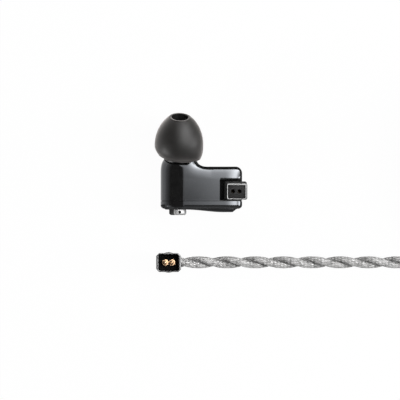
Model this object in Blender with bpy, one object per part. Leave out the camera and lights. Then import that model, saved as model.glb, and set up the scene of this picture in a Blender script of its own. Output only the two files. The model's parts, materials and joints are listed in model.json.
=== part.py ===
"""One in-ear monitor lying on its flat back, with its unplugged two-pin lead beside it.

Metres, +Z up. The back of the shell lies on Z = 0, the socket faces +Z, the ear tip points to +Y and
the dial to -Y. The origin is on the flat back, at half the height of the shell's side wall.
"""
from math import atan2, cos, pi, radians, sin, sqrt, tan

import bmesh
import bpy
from mathutils import Euler, Vector

MM = 0.001

# Clearances
FIT = 0.05 * MM                 # between pieces that are pressed, glued or slid together
RUN = 0.08 * MM                 # between pieces that move on each other
CORD_GAP = 0.3 * MM             # between the faces of the cord's pieces

# Shell, seen from the front: X is its length, Y its height and Z its depth
BODY_LEFT = -10.2 * MM
BODY_LENGTH = 20.4 * MM
BODY_DEPTH = 9.5 * MM
COLUMN_REACH = 6.0 * MM         # length of the rounded left end
DRIVER_SET_IN = 4.75 * MM       # driver axis from the left end
NOZZLE_SET_IN = 4.46 * MM       # middle of the nozzle's seat from the left end
SHELL_HEIGHT = 8.4 * MM
SHELL_WALL = 0.9 * MM
FRONT_CORNER = (4.2 * MM, 1.8 * MM)
BACK_CORNER = 2.4 * MM
SHOULDER_ROUND = 1.6 * MM
NECK_ROUND = 2.4 * MM
SHOULDER_LIMIT = 0.4            # most of the way to the neck that the shoulder may take
NECK_LIMIT = 0.8                # most of what is left that the neck's fillet may take
NECK_RADIUS = 4.2 * MM
NECK_SHIFT = 0.55 * MM          # middle of the neck from the nozzle's seat, towards the socket
NECK_EDGE = 0.3 * MM
SEAM_EDGE = 0.1 * MM

# Nozzle and ear tip, along the leaning nozzle axis
NOZZLE_LEAN = radians(17)
NOZZLE_TURN = radians(2.2)      # sideways lean, towards the socket
NOZZLE_RISE = 1.75 * MM         # seat of the collar above the shoulder
COLLAR_RADIUS = 3.55 * MM
COLLAR_HEIGHT = 0.9 * MM
SPIGOT_RADIUS = 2.9 * MM
SPIGOT_LENGTH = 2.2 * MM
NOZZLE_RADIUS = 2.3 * MM
NOZZLE_LENGTH = 7.2 * MM
LIP_RADIUS = 2.6 * MM
LIP_LENGTH = 0.8 * MM
NOZZLE_BORE = 1.7 * MM
GRILLE_RADIUS = 2.0 * MM
GRILLE_THICKNESS = 0.25 * MM
GRILLE_HOLE = 0.28 * MM
DAMPER_THICKNESS = 1.0 * MM
DAMPER_START = 2.0 * MM
TIP_RADIUS = 6.09 * MM
TIP_RIM = 0.8 * MM              # rim of the skirt above the collar's seat
TIP_WAIST = 4.0 * MM            # widest place above the collar's seat
TIP_TOP = 11.4 * MM
TIP_DOME = 7.9 * MM
TIP_DOME_POWER = 1.9
TIP_TUCK = 1.0 * MM             # how far the skirt draws in at its rim
TIP_TUCK_POWER = 2.4
TIP_WALL = 0.6 * MM
TIP_STEM_WALL = 0.65 * MM
TIP_MOUTH = 1.8 * MM

# Faceplate and its seal
GASKET_THICKNESS = 0.14 * MM
GASKET_SET_BACK = 0.2 * MM
FACE_WALL = 0.95 * MM
FACE_HEIGHT = 1.9 * MM
FACE_ROUND = 1.0 * MM
FACE_CROWN = 0.85 * MM
CROWN_START = 14.0 * MM         # these four run from the body's right end
CROWN_FULL = 4.6 * MM
CROWN_FALL = 2.6 * MM
CROWN_END = 1.1 * MM
FACE_FLOOR = 1.6 * MM
SPIGOT_WALL = 0.65 * MM
SPIGOT_RISE = 0.8 * MM

# Socket
NOTCH_LENGTH = 5.4 * MM
NOTCH_HEIGHT = 5.2 * MM
NOTCH_DEPTH = 2.9 * MM
SOCKET_SET_IN = 1.2 * MM        # centre of the nose from the body's right end
SOCKET_RISE = 2.34 * MM         # centre of the nose above the seam
SOCKET_NOSE = (5.0 * MM, 4.0 * MM)
SOCKET_NOSE_RISE = 1.6 * MM
SOCKET_NOSE_CORNER = 0.5 * MM
SOCKET_FLANGE_LEFT = 0.66 * MM
SOCKET_FLANGE_SIDE = 0.2 * MM
SOCKET_FLANGE_TOP = 0.5 * MM
SOCKET_FLANGE_FOOT = 0.9 * MM   # above the notch's floor, inside the plate
SOCKET_PLATE = 1.4 * MM
SOCKET_RECESS = (4.15 * MM, 3.1 * MM)
SOCKET_RECESS_DEPTH = 0.4 * MM
SOCKET_RECESS_CORNER = 0.25 * MM
SOCKET_POCKET = (2.6 * MM, 2.2 * MM)
SOCKET_POCKET_DEPTH = 0.75 * MM
PIN_PITCH = 1.6 * MM
PIN_RADIUS = 0.39 * MM
CONTACT_WALL = 0.2 * MM
CONTACT_TAIL = 0.25 * MM
CONTACT_TAIL_LENGTH = 0.4 * MM
SOCKET_LIP = 0.35 * MM          # plastic left over the end of each contact

# Dial and the vent valve that it turns
DIAL_SET_IN = 4.3 * MM          # dial axis from the left end
DIAL_RADIUS = 2.15 * MM
DIAL_HEIGHT = 1.5 * MM
DIAL_EDGE = 0.2 * MM
SPINDLE_RADIUS = 0.8 * MM
SPINDLE_LENGTH = 4.4 * MM
SPINDLE_GRIP = 0.85 * MM        # length of spindle held inside the dial
CLIP_GROOVE = 0.2 * MM
CLIP_THICKNESS = 0.22 * MM
CLIP_RADIUS = 1.25 * MM
BUSH_WALL = 0.6 * MM
BUSH_FLANGE = 1.75 * MM
BUSH_FLANGE_HEIGHT = 0.3 * MM
ORING_SECTION = 0.17 * MM
VENT_RADIUS = 2.55 * MM
VENT_PLATE_THICKNESS = 0.25 * MM
VENT_MESH_THICKNESS = 0.2 * MM
VENT_PORT = 0.3 * MM
VENT_PORT_CIRCLE = 2.1 * MM
VALVE_THICKNESS = 0.25 * MM
VALVE_HUB = 1.3 * MM
VALVE_HUB_HEIGHT = 0.25 * MM
MARKER_SIZE = 0.42 * MM
MARKER_DEPTH = 0.3 * MM
MARKER_ANGLE = radians(14)

# Driver, along +Y under the nozzle
DRIVER_RADIUS = 3.4 * MM
DRIVER_WALL = 0.35 * MM
DRIVER_LEDGE = 0.3 * MM
DRIVER_HEIGHT = 2.6 * MM
DRIVER_SET_DOWN = 2.6 * MM      # top of its frame below the shoulder
YOKE_RADIUS = 2.15 * MM
YOKE_WALL = 0.3 * MM
YOKE_FLOOR = 0.4 * MM
YOKE_HEIGHT = 1.75 * MM
MAGNET_RADIUS = 1.35 * MM
MAGNET_HEIGHT = 0.85 * MM
TOP_PLATE_RADIUS = 1.4 * MM
TOP_PLATE_HEIGHT = 0.35 * MM
COIL_WALL = 0.2 * MM
COIL_HEIGHT = 1.5 * MM
COIL_DIP = 0.55 * MM            # length of voice coil below the yoke's rim
DIAPHRAGM_THICKNESS = 0.1 * MM
DIAPHRAGM_DOME = 0.4 * MM
FRONT_PLATE_THICKNESS = 0.2 * MM
FRONT_PLATE_HOLE = 0.45 * MM
TERMINAL_THICKNESS = 0.35 * MM
TERMINAL_RADIUS = 3.1 * MM
BAFFLE_THICKNESS = 0.4 * MM
BAFFLE_HOLE = 2.9 * MM
WIRE_RADIUS = 0.16 * MM

# Right-angle plug, lying with its pins up
PLUG_X = -8.17 * MM
PLUG_Y = -19.8 * MM
PLUG_WALL = (0.55 * MM, 0.3 * MM)
PLUG_FIT = 0.05 * MM            # between the hood's inside and the socket's nose
PLUG_HEIGHT = 8.1 * MM
PLUG_CAVITY_DEPTH = 2.9 * MM
PLUG_CHAMFER = 0.7 * MM
PLUG_FLOOR = 0.5 * MM
BARREL_RADIUS = 2.55 * MM
BARREL_CHAMBER = 2.2 * MM
BARREL_ROOF = 0.5 * MM
COVER_THICKNESS = 0.5 * MM
INSULATOR_FLANGE = 0.5 * MM
INSULATOR_STEM = (3.8 * MM, 2.2 * MM)
INSULATOR_STEM_LENGTH = 0.75 * MM
PIN_COLLAR_RADIUS = 0.7 * MM
PIN_COLLAR_HEIGHT = 0.3 * MM
PIN_LENGTH = 1.6 * MM
RELIEF_RADIUS = 1.8 * MM
RELIEF_END_RADIUS = 1.6 * MM
RELIEF_BORE = 1.0 * MM
RELIEF_INSIDE = 1.9 * MM        # start of the relief from the plug's centre line
RELIEF_OUTSIDE = 3.0 * MM
LEAD_EXIT_HEIGHT = 2.6 * MM

# Lead and its coil
LEAD_DIAMETER = 3.0 * MM
TURN_PITCH = 3.5 * MM
COIL_OUTER = 24.9 * MM          # centre line of the first turn
COIL_TURNS_IN = 4.75
COIL_TURNS = 10
COIL_X = 79.0 * MM
COIL_BASE = 2.4 * MM            # centre line of the lower layer
COIL_TURN_BACK = 0.08           # part of a turn over which the spiral reverses
POINTS_PER_TURN = 24
TIE_THICKNESS = 0.6 * MM
TIE_WIDTH = 5.0 * MM
TIE_CORNER = 1.6 * MM
TIE_GAP = 0.25 * MM

# Straight 3.5 mm plug at the far end
BOOT_LENGTH = 5.0 * MM
BOOT_RADIUS = 2.2 * MM
BOOT_END_RADIUS = 1.8 * MM
BOOT_BORE = 1.0 * MM
JACK_BARREL_RADIUS = 2.9 * MM
JACK_BARREL_LENGTH = 14.0 * MM
JACK_BARREL_WALL = 0.6 * MM
JACK_RADIUS = 1.75 * MM
JACK_SLEEVE_LENGTH = 6.6 * MM
JACK_BAND = 0.6 * MM
JACK_RING_LENGTH = 2.2 * MM
JACK_TIP_LENGTH = 4.0 * MM
JACK_CORE = 0.5 * MM
JACK_ROOT = 6.0 * MM            # length of the sleeve's root inside the barrel

# The lead from the plug to the coil, chosen along the table: X and Z, at the plug's Y
RUN_ROUTE = [
    (-4.87, 2.6), (-3.5, 2.58), (-1.8, 2.45), (0.5, 2.12), (3.5, 1.76), (7.0, 1.56), (11.0, 1.5),
    (16.0, 1.5), (22.0, 1.5), (28.0, 1.5), (34.0, 1.5), (40.0, 1.5), (46.0, 1.5), (52.0, 1.5),
    (57.0, 1.52), (61.5, 1.62), (65.5, 1.86), (69.0, 2.15), (72.0, 2.34), (74.2, 2.4), (75.7, 2.4),
]

# The tail from the coil to the far plug: X and Y from the coil's centre, and Z
TAIL_ROUTE = [
    (3.3, -26.65, 5.9), (5.2, -26.62, 5.88), (8.0, -26.4, 5.7), (11.0, -25.85, 5.3), (14.0, -24.95, 4.7),
    (17.0, -23.6, 4.0), (19.8, -21.85, 3.3), (22.4, -19.7, 2.7), (24.7, -17.2, 2.35), (26.6, -14.4, 2.3),
    (28.1, -11.6, 2.5), (29.1, -9.0, 2.78), (29.45, -7.6, 2.92), (29.5, -6.95, 2.95),
]

# Counts
QUARTER_STEPS = 8
FACE_STEPS = 8
CORNER_STEPS = 3
BODY_CORNER_STEPS = 5
FILLET_STEPS = 4
ROUND = 32
SMALL_ROUND = 16
FINE_ROUND = 10

# Places worked out from the sizes above
BODY_RIGHT = BODY_LEFT + BODY_LENGTH
COLUMN_X = BODY_LEFT + DRIVER_SET_IN
MIDDLE_Z = BODY_DEPTH / 2
SEAM_Y = -SHELL_HEIGHT / 2
SHOULDER_Y = SHELL_HEIGHT / 2
SEAT = Vector((BODY_LEFT + NOZZLE_SET_IN, SHOULDER_Y + NOZZLE_RISE,
               MIDDLE_Z + NOZZLE_RISE * tan(NOZZLE_LEAN)))
NOZZLE_FACING = Euler((NOZZLE_LEAN - pi / 2, 0, -NOZZLE_TURN))
NOZZLE_TILT = NOZZLE_FACING.to_matrix()
NOZZLE_AXIS = NOZZLE_TILT @ Vector((0, 0, 1))
NECK = SEAT + Vector((NECK_SHIFT, 0, 0))
FACE_TOP = SEAM_Y - GASKET_THICKNESS - 2 * FIT
FACE_BOTTOM = FACE_TOP - FACE_HEIGHT
FACE_INSIDE = FACE_BOTTOM + FACE_FLOOR
FACE_INSET = SHELL_WALL + FIT
NOTCH_LEFT = BODY_RIGHT - NOTCH_LENGTH
NOTCH_TOP = SEAM_Y + NOTCH_HEIGHT
NOTCH_FLOOR = BODY_DEPTH - NOTCH_DEPTH
SOCKET_CENTRE = (BODY_RIGHT - SOCKET_SET_IN, SEAM_Y + SOCKET_RISE)
SOCKET_FRONT = BODY_DEPTH + SOCKET_NOSE_RISE
DIAL_X = BODY_LEFT + DIAL_SET_IN
DRIVER_TOP = SHOULDER_Y - DRIVER_SET_DOWN
DRIVER_LEDGE_BASE = DRIVER_TOP - DRIVER_HEIGHT
HOOD_INSIDE = tuple(size + 2 * PLUG_FIT for size in SOCKET_NOSE)
HOOD_OUTSIDE = tuple(size + 2 * wall for size, wall in zip(HOOD_INSIDE, PLUG_WALL))
LEAD_RADIUS = LEAD_DIAMETER / 2
COIL_Y = PLUG_Y + COIL_OUTER
COIL_LIFT = TURN_PITCH
TIP_BORE = LIP_RADIUS + RUN
TIP_STEM = TIP_BORE + TIP_STEM_WALL

# Colour, roughness and metallic value of each finish
LOOKS = {
    "gloss_black": ((0.012, 0.012, 0.013), 0.18, 0.0),
    "satin_black": ((0.015, 0.015, 0.016), 0.45, 0.0),
    "silicone": ((0.05, 0.046, 0.045), 0.5, 0.0),
    "rubber": ((0.01, 0.01, 0.01), 0.7, 0.0),
    "steel": ((0.6, 0.6, 0.61), 0.25, 1.0),
    "chrome": ((0.78, 0.78, 0.79), 0.12, 1.0),
    "grey_metal": ((0.22, 0.22, 0.23), 0.35, 1.0),
    "gold": ((0.83, 0.6, 0.24), 0.22, 1.0),
    "copper": ((0.72, 0.36, 0.2), 0.35, 1.0),
    "magnet": ((0.3, 0.3, 0.31), 0.4, 1.0),
    "felt": ((0.55, 0.53, 0.5), 0.9, 0.0),
    "film": ((0.6, 0.62, 0.6), 0.3, 0.0),
    "board": ((0.02, 0.13, 0.05), 0.5, 0.0),
    "red_wire": ((0.45, 0.03, 0.03), 0.45, 0.0),
    "blue_wire": ((0.03, 0.06, 0.4), 0.45, 0.0),
    "silver_braid": ((0.62, 0.63, 0.65), 0.35, 0.6),
    "strap": ((0.03, 0.03, 0.032), 0.85, 0.0),
}


def clear_scene():
    for thing in list(bpy.data.objects):
        bpy.data.objects.remove(thing, do_unlink=True)


def finish_for(name, look):
    colour, roughness, metallic = LOOKS[look]
    material = bpy.data.materials.new(name)
    material.use_nodes = True
    shader = material.node_tree.nodes["Principled BSDF"]
    shader.inputs["Base Color"].default_value = (*colour, 1.0)
    shader.inputs["Roughness"].default_value = roughness
    shader.inputs["Metallic"].default_value = metallic
    return material


def place(thing, parent):
    bpy.context.scene.collection.objects.link(thing)
    thing.parent = parent
    return thing


def solid(name, look, shape, parent=None):
    """An object of one closed body from a bmesh, with faces pointing out."""
    bmesh.ops.recalc_face_normals(shape, faces=shape.faces)
    mesh = bpy.data.meshes.new(name)
    shape.to_mesh(mesh)
    shape.free()
    mesh.shade_smooth()
    mesh.set_sharp_from_angle(angle=radians(35))
    thing = bpy.data.objects.new(name, mesh)
    if look:
        mesh.materials.append(finish_for(name, look))
    return place(thing, parent)


def axis(name, location, rotation=(0, 0, 0)):
    """An empty whose Z is the axis that its pieces are turned or pushed along."""
    empty = bpy.data.objects.new(name, None)
    empty.location = location
    empty.rotation_euler = rotation
    empty.empty_display_size = 2 * MM
    return place(empty, None)


def turned(name, look, profile, parent=None, steps=ROUND):
    """A solid of revolution about Z from a closed profile of radius and height."""
    shape = bmesh.new()
    points = [shape.verts.new((radius, 0, height)) for radius, height in profile]
    edges = [shape.edges.new((a, b)) for a, b in zip(points, points[1:])]
    if profile[0][0] > 0 or profile[-1][0] > 0:
        edges.append(shape.edges.new((points[-1], points[0])))
    bmesh.ops.spin(shape, geom=points + edges, cent=(0, 0, 0), axis=(0, 0, 1), angle=2 * pi,
                   steps=steps, use_merge=True)
    bmesh.ops.remove_doubles(shape, verts=shape.verts, dist=1e-8)
    bmesh.ops.dissolve_degenerate(shape, edges=shape.edges, dist=1e-9)
    return solid(name, look, shape, parent)


def tube(inner, outer, low, high):
    """Profile of a plain sleeve."""
    return [(outer, high), (outer, low), (inner, low), (inner, high)]


def disc(radius, low, high):
    """Profile of a plain disc."""
    return [(0, high), (radius, high), (radius, low), (0, low)]


def prism(name, look, outline, low, high, parent=None):
    """An outline in X and Y pushed along Z."""
    shape = bmesh.new()
    rings = [[shape.verts.new((x, y, z)) for x, y in outline] for z in (low, high)]
    skin(shape, rings)
    shape.faces.new(rings[0])
    shape.faces.new(rings[1])
    return solid(name, look, shape, parent)


def skin(shape, rings, closed=False):
    """Quads between rings of equal count."""
    pairs = list(zip(rings, rings[1:]))
    if closed:
        pairs.append((rings[-1], rings[0]))
    for lower, upper in pairs:
        count = len(lower)
        for i in range(count):
            j = (i + 1) % count
            shape.faces.new((lower[i], lower[j], upper[j], upper[i]))


def ladder_cap(shape, ring):
    """Strips across a ring whose stations lie in facing pairs."""
    half = len(ring) // 2
    for i in range(half - 1):
        corners = [ring[i], ring[i + 1], ring[-i - 1], ring[-i]]
        if i == half - 2:
            corners.insert(2, ring[half])
        shape.faces.new(list(dict.fromkeys(corners)))


def rounded_outline(width, height, corner, centre=(0, 0), steps=CORNER_STEPS):
    """Corners of a rounded rectangle; one step makes a chamfer."""
    points = []
    for quarter, (side, end) in enumerate([(1, 1), (-1, 1), (-1, -1), (1, -1)]):
        for step in range(steps + 1):
            angle = (quarter + step / steps) * pi / 2
            x = centre[0] + side * (width / 2 - corner) + corner * cos(angle)
            y = centre[1] + end * (height / 2 - corner) + corner * sin(angle)
            points.append((x, y))
    return points


def box_outline(left, right, low, high):
    return [(left, low), (right, low), (right, high), (left, high)]


def combine(thing, tool, operation="DIFFERENCE"):
    """Cut a hidden tool from a piece, or join it on."""
    tool.hide_render = True
    tool.display_type = "WIRE"
    change = thing.modifiers.new(operation.lower(), "BOOLEAN")
    change.operation = operation
    change.solver = "EXACT"
    change.object = tool


def drill(thing, radius, low, high, parent=None, at=(0, 0), steps=SMALL_ROUND):
    """A round hole along Z of its parent, at an X and Y there."""
    tool = turned("drill", None, disc(radius, low, high), parent, steps)
    tool.location = (*at, 0)
    # A part of a step keeps the hole's corners off the corners of the piece
    tool.rotation_euler.z = pi / steps / 2
    combine(thing, tool)


def smooth_step(value):
    value = min(max(value, 0), 1)
    return value * value * (3 - 2 * value)


# Body outline and the lofted shell

def arc(centre, radii, start, end, steps):
    """Points of a round or elliptic arc."""
    angles = [start + (end - start) * i / steps for i in range(steps + 1)]
    return [(centre[0] + radii[0] * cos(angle), centre[1] + radii[1] * sin(angle)) for angle in angles]


def straight(start, end, steps):
    """Points strictly between two ends."""
    return [(start[0] + (end[0] - start[0]) * i / steps, start[1] + (end[1] - start[1]) * i / steps)
            for i in range(1, steps)]


def body_outline(inset):
    """Stations in X and Z from the left end along the front, and back along the rear in facing pairs."""
    least = 0.1 * MM
    front_corner = tuple(max(size - inset, least) for size in FRONT_CORNER)
    back_corner = max(BACK_CORNER - inset, least)
    right = BODY_RIGHT - inset
    column = (BODY_LEFT + COLUMN_REACH, MIDDLE_Z)
    column_radii = (COLUMN_REACH - inset, BODY_DEPTH / 2 - inset)
    front = arc(column, column_radii, pi, pi / 2, QUARTER_STEPS)
    corner = arc((right - front_corner[0], BODY_DEPTH - inset - front_corner[1]), front_corner, pi / 2, 0,
                 BODY_CORNER_STEPS)
    back = arc((right - back_corner, inset + back_corner), (back_corner, back_corner), 0, -pi / 2,
               BODY_CORNER_STEPS)
    column_back = arc(column, column_radii, -pi / 2, -pi, QUARTER_STEPS)
    points = front + straight(front[-1], corner[0], FACE_STEPS) + corner
    points += straight(corner[-1], back[0], 2) + back
    points += straight(back[-1], column_back[0], FACE_STEPS) + column_back[:-1]
    return points


def flat_ring(inset, height):
    return [Vector((x, height, z)) for x, z in body_outline(inset)]


def nozzle_point(angle, radius, rise):
    """A point round the leaning nozzle axis, at a distance along it from the collar's seat."""
    return SEAT + NOZZLE_TILT @ Vector((radius * cos(angle), -radius * sin(angle), rise))


def neck_fillet(foot, neck, turn):
    """A point of the hollow curve from the shoulder's foot up to the neck's rim."""
    level = Vector((neck.x - foot.x, 0, neck.z - foot.z))
    reach = level.length
    fillet = min(NECK_ROUND, NECK_LIMIT * reach)
    along = level * (1 - fillet * (1 - sin(turn)) / reach)
    return foot + along + Vector((0, SHOULDER_Y + (neck.y - SHOULDER_Y) * (1 - cos(turn)), 0))


def shell_rings():
    """Rings of the shell's skin: up the wall, over the shoulder and neck, down the bore and the inside."""
    base = flat_ring(0, 0)
    inner = flat_ring(SHOULDER_ROUND, 0)
    angles = [atan2(point.z - MIDDLE_Z, point.x - COLUMN_X) for point in base]
    shoulders = []
    feet = []
    necks = []
    for wall, inside, angle in zip(base, inner, angles):
        neck = Vector((NECK.x + NECK_RADIUS * cos(angle), 0, NECK.z + NECK_RADIUS * sin(angle)))
        # The neck's rim lies in a plane square to the nozzle's axis
        fall = (neck.x - NECK.x) * NOZZLE_AXIS.x + (neck.z - NECK.z) * NOZZLE_AXIS.z
        neck.y = NECK.y - NECK_EDGE - fall / NOZZLE_AXIS.y
        share = min(1, SHOULDER_LIMIT * Vector((neck.x - wall.x, 0, neck.z - wall.z)).length / SHOULDER_ROUND)
        shoulders.append((inside - wall) * share)
        feet.append(wall + shoulders[-1])
        necks.append(neck)
    rings = [flat_ring(SEAM_EDGE, SEAM_Y), flat_ring(0, SEAM_Y + SEAM_EDGE)]
    for step in range(FILLET_STEPS + 1):
        turn = step / FILLET_STEPS * pi / 2
        height = Vector((0, SHOULDER_Y - SHOULDER_ROUND * (1 - sin(turn)), 0))
        rings.append([wall + shoulder * (1 - cos(turn)) + height for wall, shoulder in zip(base, shoulders)])
    for step in range(FILLET_STEPS + 1):
        turn = step / FILLET_STEPS * pi / 2
        rings.append([neck_fillet(foot, neck, turn) for foot, neck in zip(feet, necks)])
    bore = SPIGOT_RADIUS + 2 * FIT
    rim = NECK_RADIUS - NECK_EDGE
    rings.append([nozzle_point(angle, rim, 0) + NECK - SEAT for angle in angles])
    for rise in (0, -SPIGOT_LENGTH):
        rings.append([nozzle_point(angle, bore, rise) for angle in angles])
    rings.append(flat_ring(SHELL_WALL, SHOULDER_Y - SHELL_WALL))
    rings.append(flat_ring(SHELL_WALL, SEAM_Y))
    return rings


def notch_tool():
    """The corner of the body that the socket takes up, down to the seam."""
    low = FACE_TOP + FIT
    outline = box_outline(NOTCH_LEFT, BODY_RIGHT + SHELL_WALL, low, NOTCH_TOP)
    return prism("notch", None, outline, NOTCH_FLOOR, BODY_DEPTH + SHELL_WALL)


def make_shell():
    shape = bmesh.new()
    rings = [[shape.verts.new(point) for point in ring] for ring in shell_rings()]
    skin(shape, rings, closed=True)
    shell = solid("main_shell", "gloss_black", shape)
    combine(shell, notch_tool())


def make_gasket():
    low = SEAM_Y - FIT - GASKET_THICKNESS
    high = SEAM_Y - FIT
    inner = SHELL_WALL - FIT
    insets = [(GASKET_SET_BACK, low), (GASKET_SET_BACK, high), (inner, high), (inner, low)]
    shape = bmesh.new()
    rings = [[shape.verts.new(point) for point in flat_ring(inset, height)] for inset, height in insets]
    skin(shape, rings, closed=True)
    solid("seam_gasket", "rubber", shape)


def crown(x):
    """How far the faceplate's outside swells at X."""
    from_right = BODY_RIGHT - x
    rise = smooth_step((CROWN_START - from_right) / (CROWN_START - CROWN_FULL))
    fall = smooth_step((CROWN_FALL - from_right) / (CROWN_FALL - CROWN_END))
    return FACE_CROWN * rise * (1 - fall)


def make_faceplate(dial_axis):
    rings = [flat_ring(FACE_INSET + SPIGOT_WALL, FACE_INSIDE),
             flat_ring(FACE_INSET + SPIGOT_WALL, FACE_TOP + SPIGOT_RISE),
             flat_ring(FACE_INSET, FACE_TOP + SPIGOT_RISE), flat_ring(FACE_INSET, FACE_TOP),
             flat_ring(SEAM_EDGE, FACE_TOP), flat_ring(0, FACE_TOP - SEAM_EDGE)]
    wall_foot = FACE_TOP - FACE_WALL
    for step in range(FILLET_STEPS + 1):
        turn = step / FILLET_STEPS * pi / 2
        ring = flat_ring(FACE_ROUND * (1 - cos(turn)), wall_foot)
        for point in ring:
            point.y -= (wall_foot - FACE_BOTTOM + crown(point.x)) * sin(turn)
        rings.append(ring)
    shape = bmesh.new()
    loops = [[shape.verts.new(point) for point in ring] for ring in rings]
    skin(shape, loops)
    ladder_cap(shape, loops[0])
    ladder_cap(shape, loops[-1])
    faceplate = solid("faceplate", "gloss_black", shape)
    combine(faceplate, notch_tool())
    deep = FACE_HEIGHT * 2
    drill(faceplate, SPINDLE_RADIUS + RUN + BUSH_WALL + FIT, -deep, deep, dial_axis)
    for side in (-1, 1):
        drill(faceplate, VENT_PORT, -deep, deep, dial_axis, (side * VENT_PORT_CIRCLE, 0), FINE_ROUND)


# Nozzle and ear tip

def make_nozzle(nozzle_axis):
    seat = NOZZLE_LENGTH - GRILLE_THICKNESS - FIT
    turned("nozzle", "steel", [
        (GRILLE_RADIUS + FIT, NOZZLE_LENGTH), (LIP_RADIUS - NECK_EDGE, NOZZLE_LENGTH),
        (LIP_RADIUS, NOZZLE_LENGTH - NECK_EDGE), (LIP_RADIUS, NOZZLE_LENGTH - LIP_LENGTH),
        (NOZZLE_RADIUS, NOZZLE_LENGTH - LIP_LENGTH - NECK_EDGE), (NOZZLE_RADIUS, COLLAR_HEIGHT),
        (COLLAR_RADIUS - NECK_EDGE / 2, COLLAR_HEIGHT), (COLLAR_RADIUS, COLLAR_HEIGHT - NECK_EDGE / 2),
        (COLLAR_RADIUS, FIT), (SPIGOT_RADIUS, FIT), (SPIGOT_RADIUS, -SPIGOT_LENGTH),
        (NOZZLE_BORE, -SPIGOT_LENGTH), (NOZZLE_BORE, seat), (GRILLE_RADIUS + FIT, seat)], nozzle_axis)
    grille = turned("nozzle_grille", "grey_metal",
                    disc(GRILLE_RADIUS, NOZZLE_LENGTH - GRILLE_THICKNESS, NOZZLE_LENGTH), nozzle_axis,
                    SMALL_ROUND)
    pitch = GRILLE_HOLE * 3.2
    drill(grille, GRILLE_HOLE, seat, NOZZLE_LENGTH + FIT, nozzle_axis, steps=FINE_ROUND)
    for spoke in range(6):
        at = (pitch * cos(spoke * pi / 3), pitch * sin(spoke * pi / 3))
        drill(grille, GRILLE_HOLE, seat, NOZZLE_LENGTH + FIT, nozzle_axis, at, FINE_ROUND)
    turned("acoustic_damper", "felt",
           disc(NOZZLE_BORE - FIT, DAMPER_START, DAMPER_START + DAMPER_THICKNESS), nozzle_axis, SMALL_ROUND)


def tip_radius(rise):
    """Outside of the ear tip at a height above the collar's seat."""
    if rise >= TIP_WAIST:
        return TIP_RADIUS * sqrt(1 - ((rise - TIP_WAIST) / TIP_DOME) ** TIP_DOME_POWER)
    return TIP_RADIUS - TIP_TUCK * ((TIP_WAIST - rise) / (TIP_WAIST - TIP_RIM)) ** TIP_TUCK_POWER


def make_ear_tip(nozzle_axis):
    outer_steps = 9
    skirt_steps = 4
    ceiling = TIP_TOP - 2 * TIP_WALL
    shoulder = NOZZLE_LENGTH + RUN
    # Even steps of angle crowd the heights where the dome curves most
    dome = TIP_TOP - TIP_WAIST
    climb = [TIP_WAIST + dome * sin(i / outer_steps * pi / 2) for i in range(outer_steps + 1)]
    profile = [(tip_radius(rise), rise) for rise in reversed(climb)]
    fall = [TIP_WAIST + (TIP_RIM - TIP_WAIST) * i / skirt_steps for i in range(1, skirt_steps + 1)]
    profile += [(tip_radius(rise), rise) for rise in fall]
    rim = tip_radius(TIP_RIM)
    profile += [(rim - TIP_WALL * 0.3, TIP_RIM - TIP_WALL * 0.3), (rim - TIP_WALL, TIP_RIM)]
    profile += [(tip_radius(rise) - TIP_WALL, rise) for rise in reversed(fall[:-1])]
    inside = [rise for rise in climb if rise < ceiling and tip_radius(rise) - TIP_WALL > TIP_STEM + TIP_WALL]
    profile += [(tip_radius(rise) - TIP_WALL, rise) for rise in inside]
    profile += [(TIP_STEM + TIP_WALL, inside[-1] + TIP_WALL), (TIP_STEM, inside[-1])]
    stem_foot = COLLAR_HEIGHT + CORD_GAP
    profile += [(TIP_STEM, stem_foot), (TIP_BORE, stem_foot), (TIP_BORE, shoulder)]
    profile += [(TIP_MOUTH, shoulder + TIP_WALL), (TIP_MOUTH, TIP_TOP - TIP_WALL * 0.4)]
    turned("ear_tip", "silicone", profile, nozzle_axis)


# Socket

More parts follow.
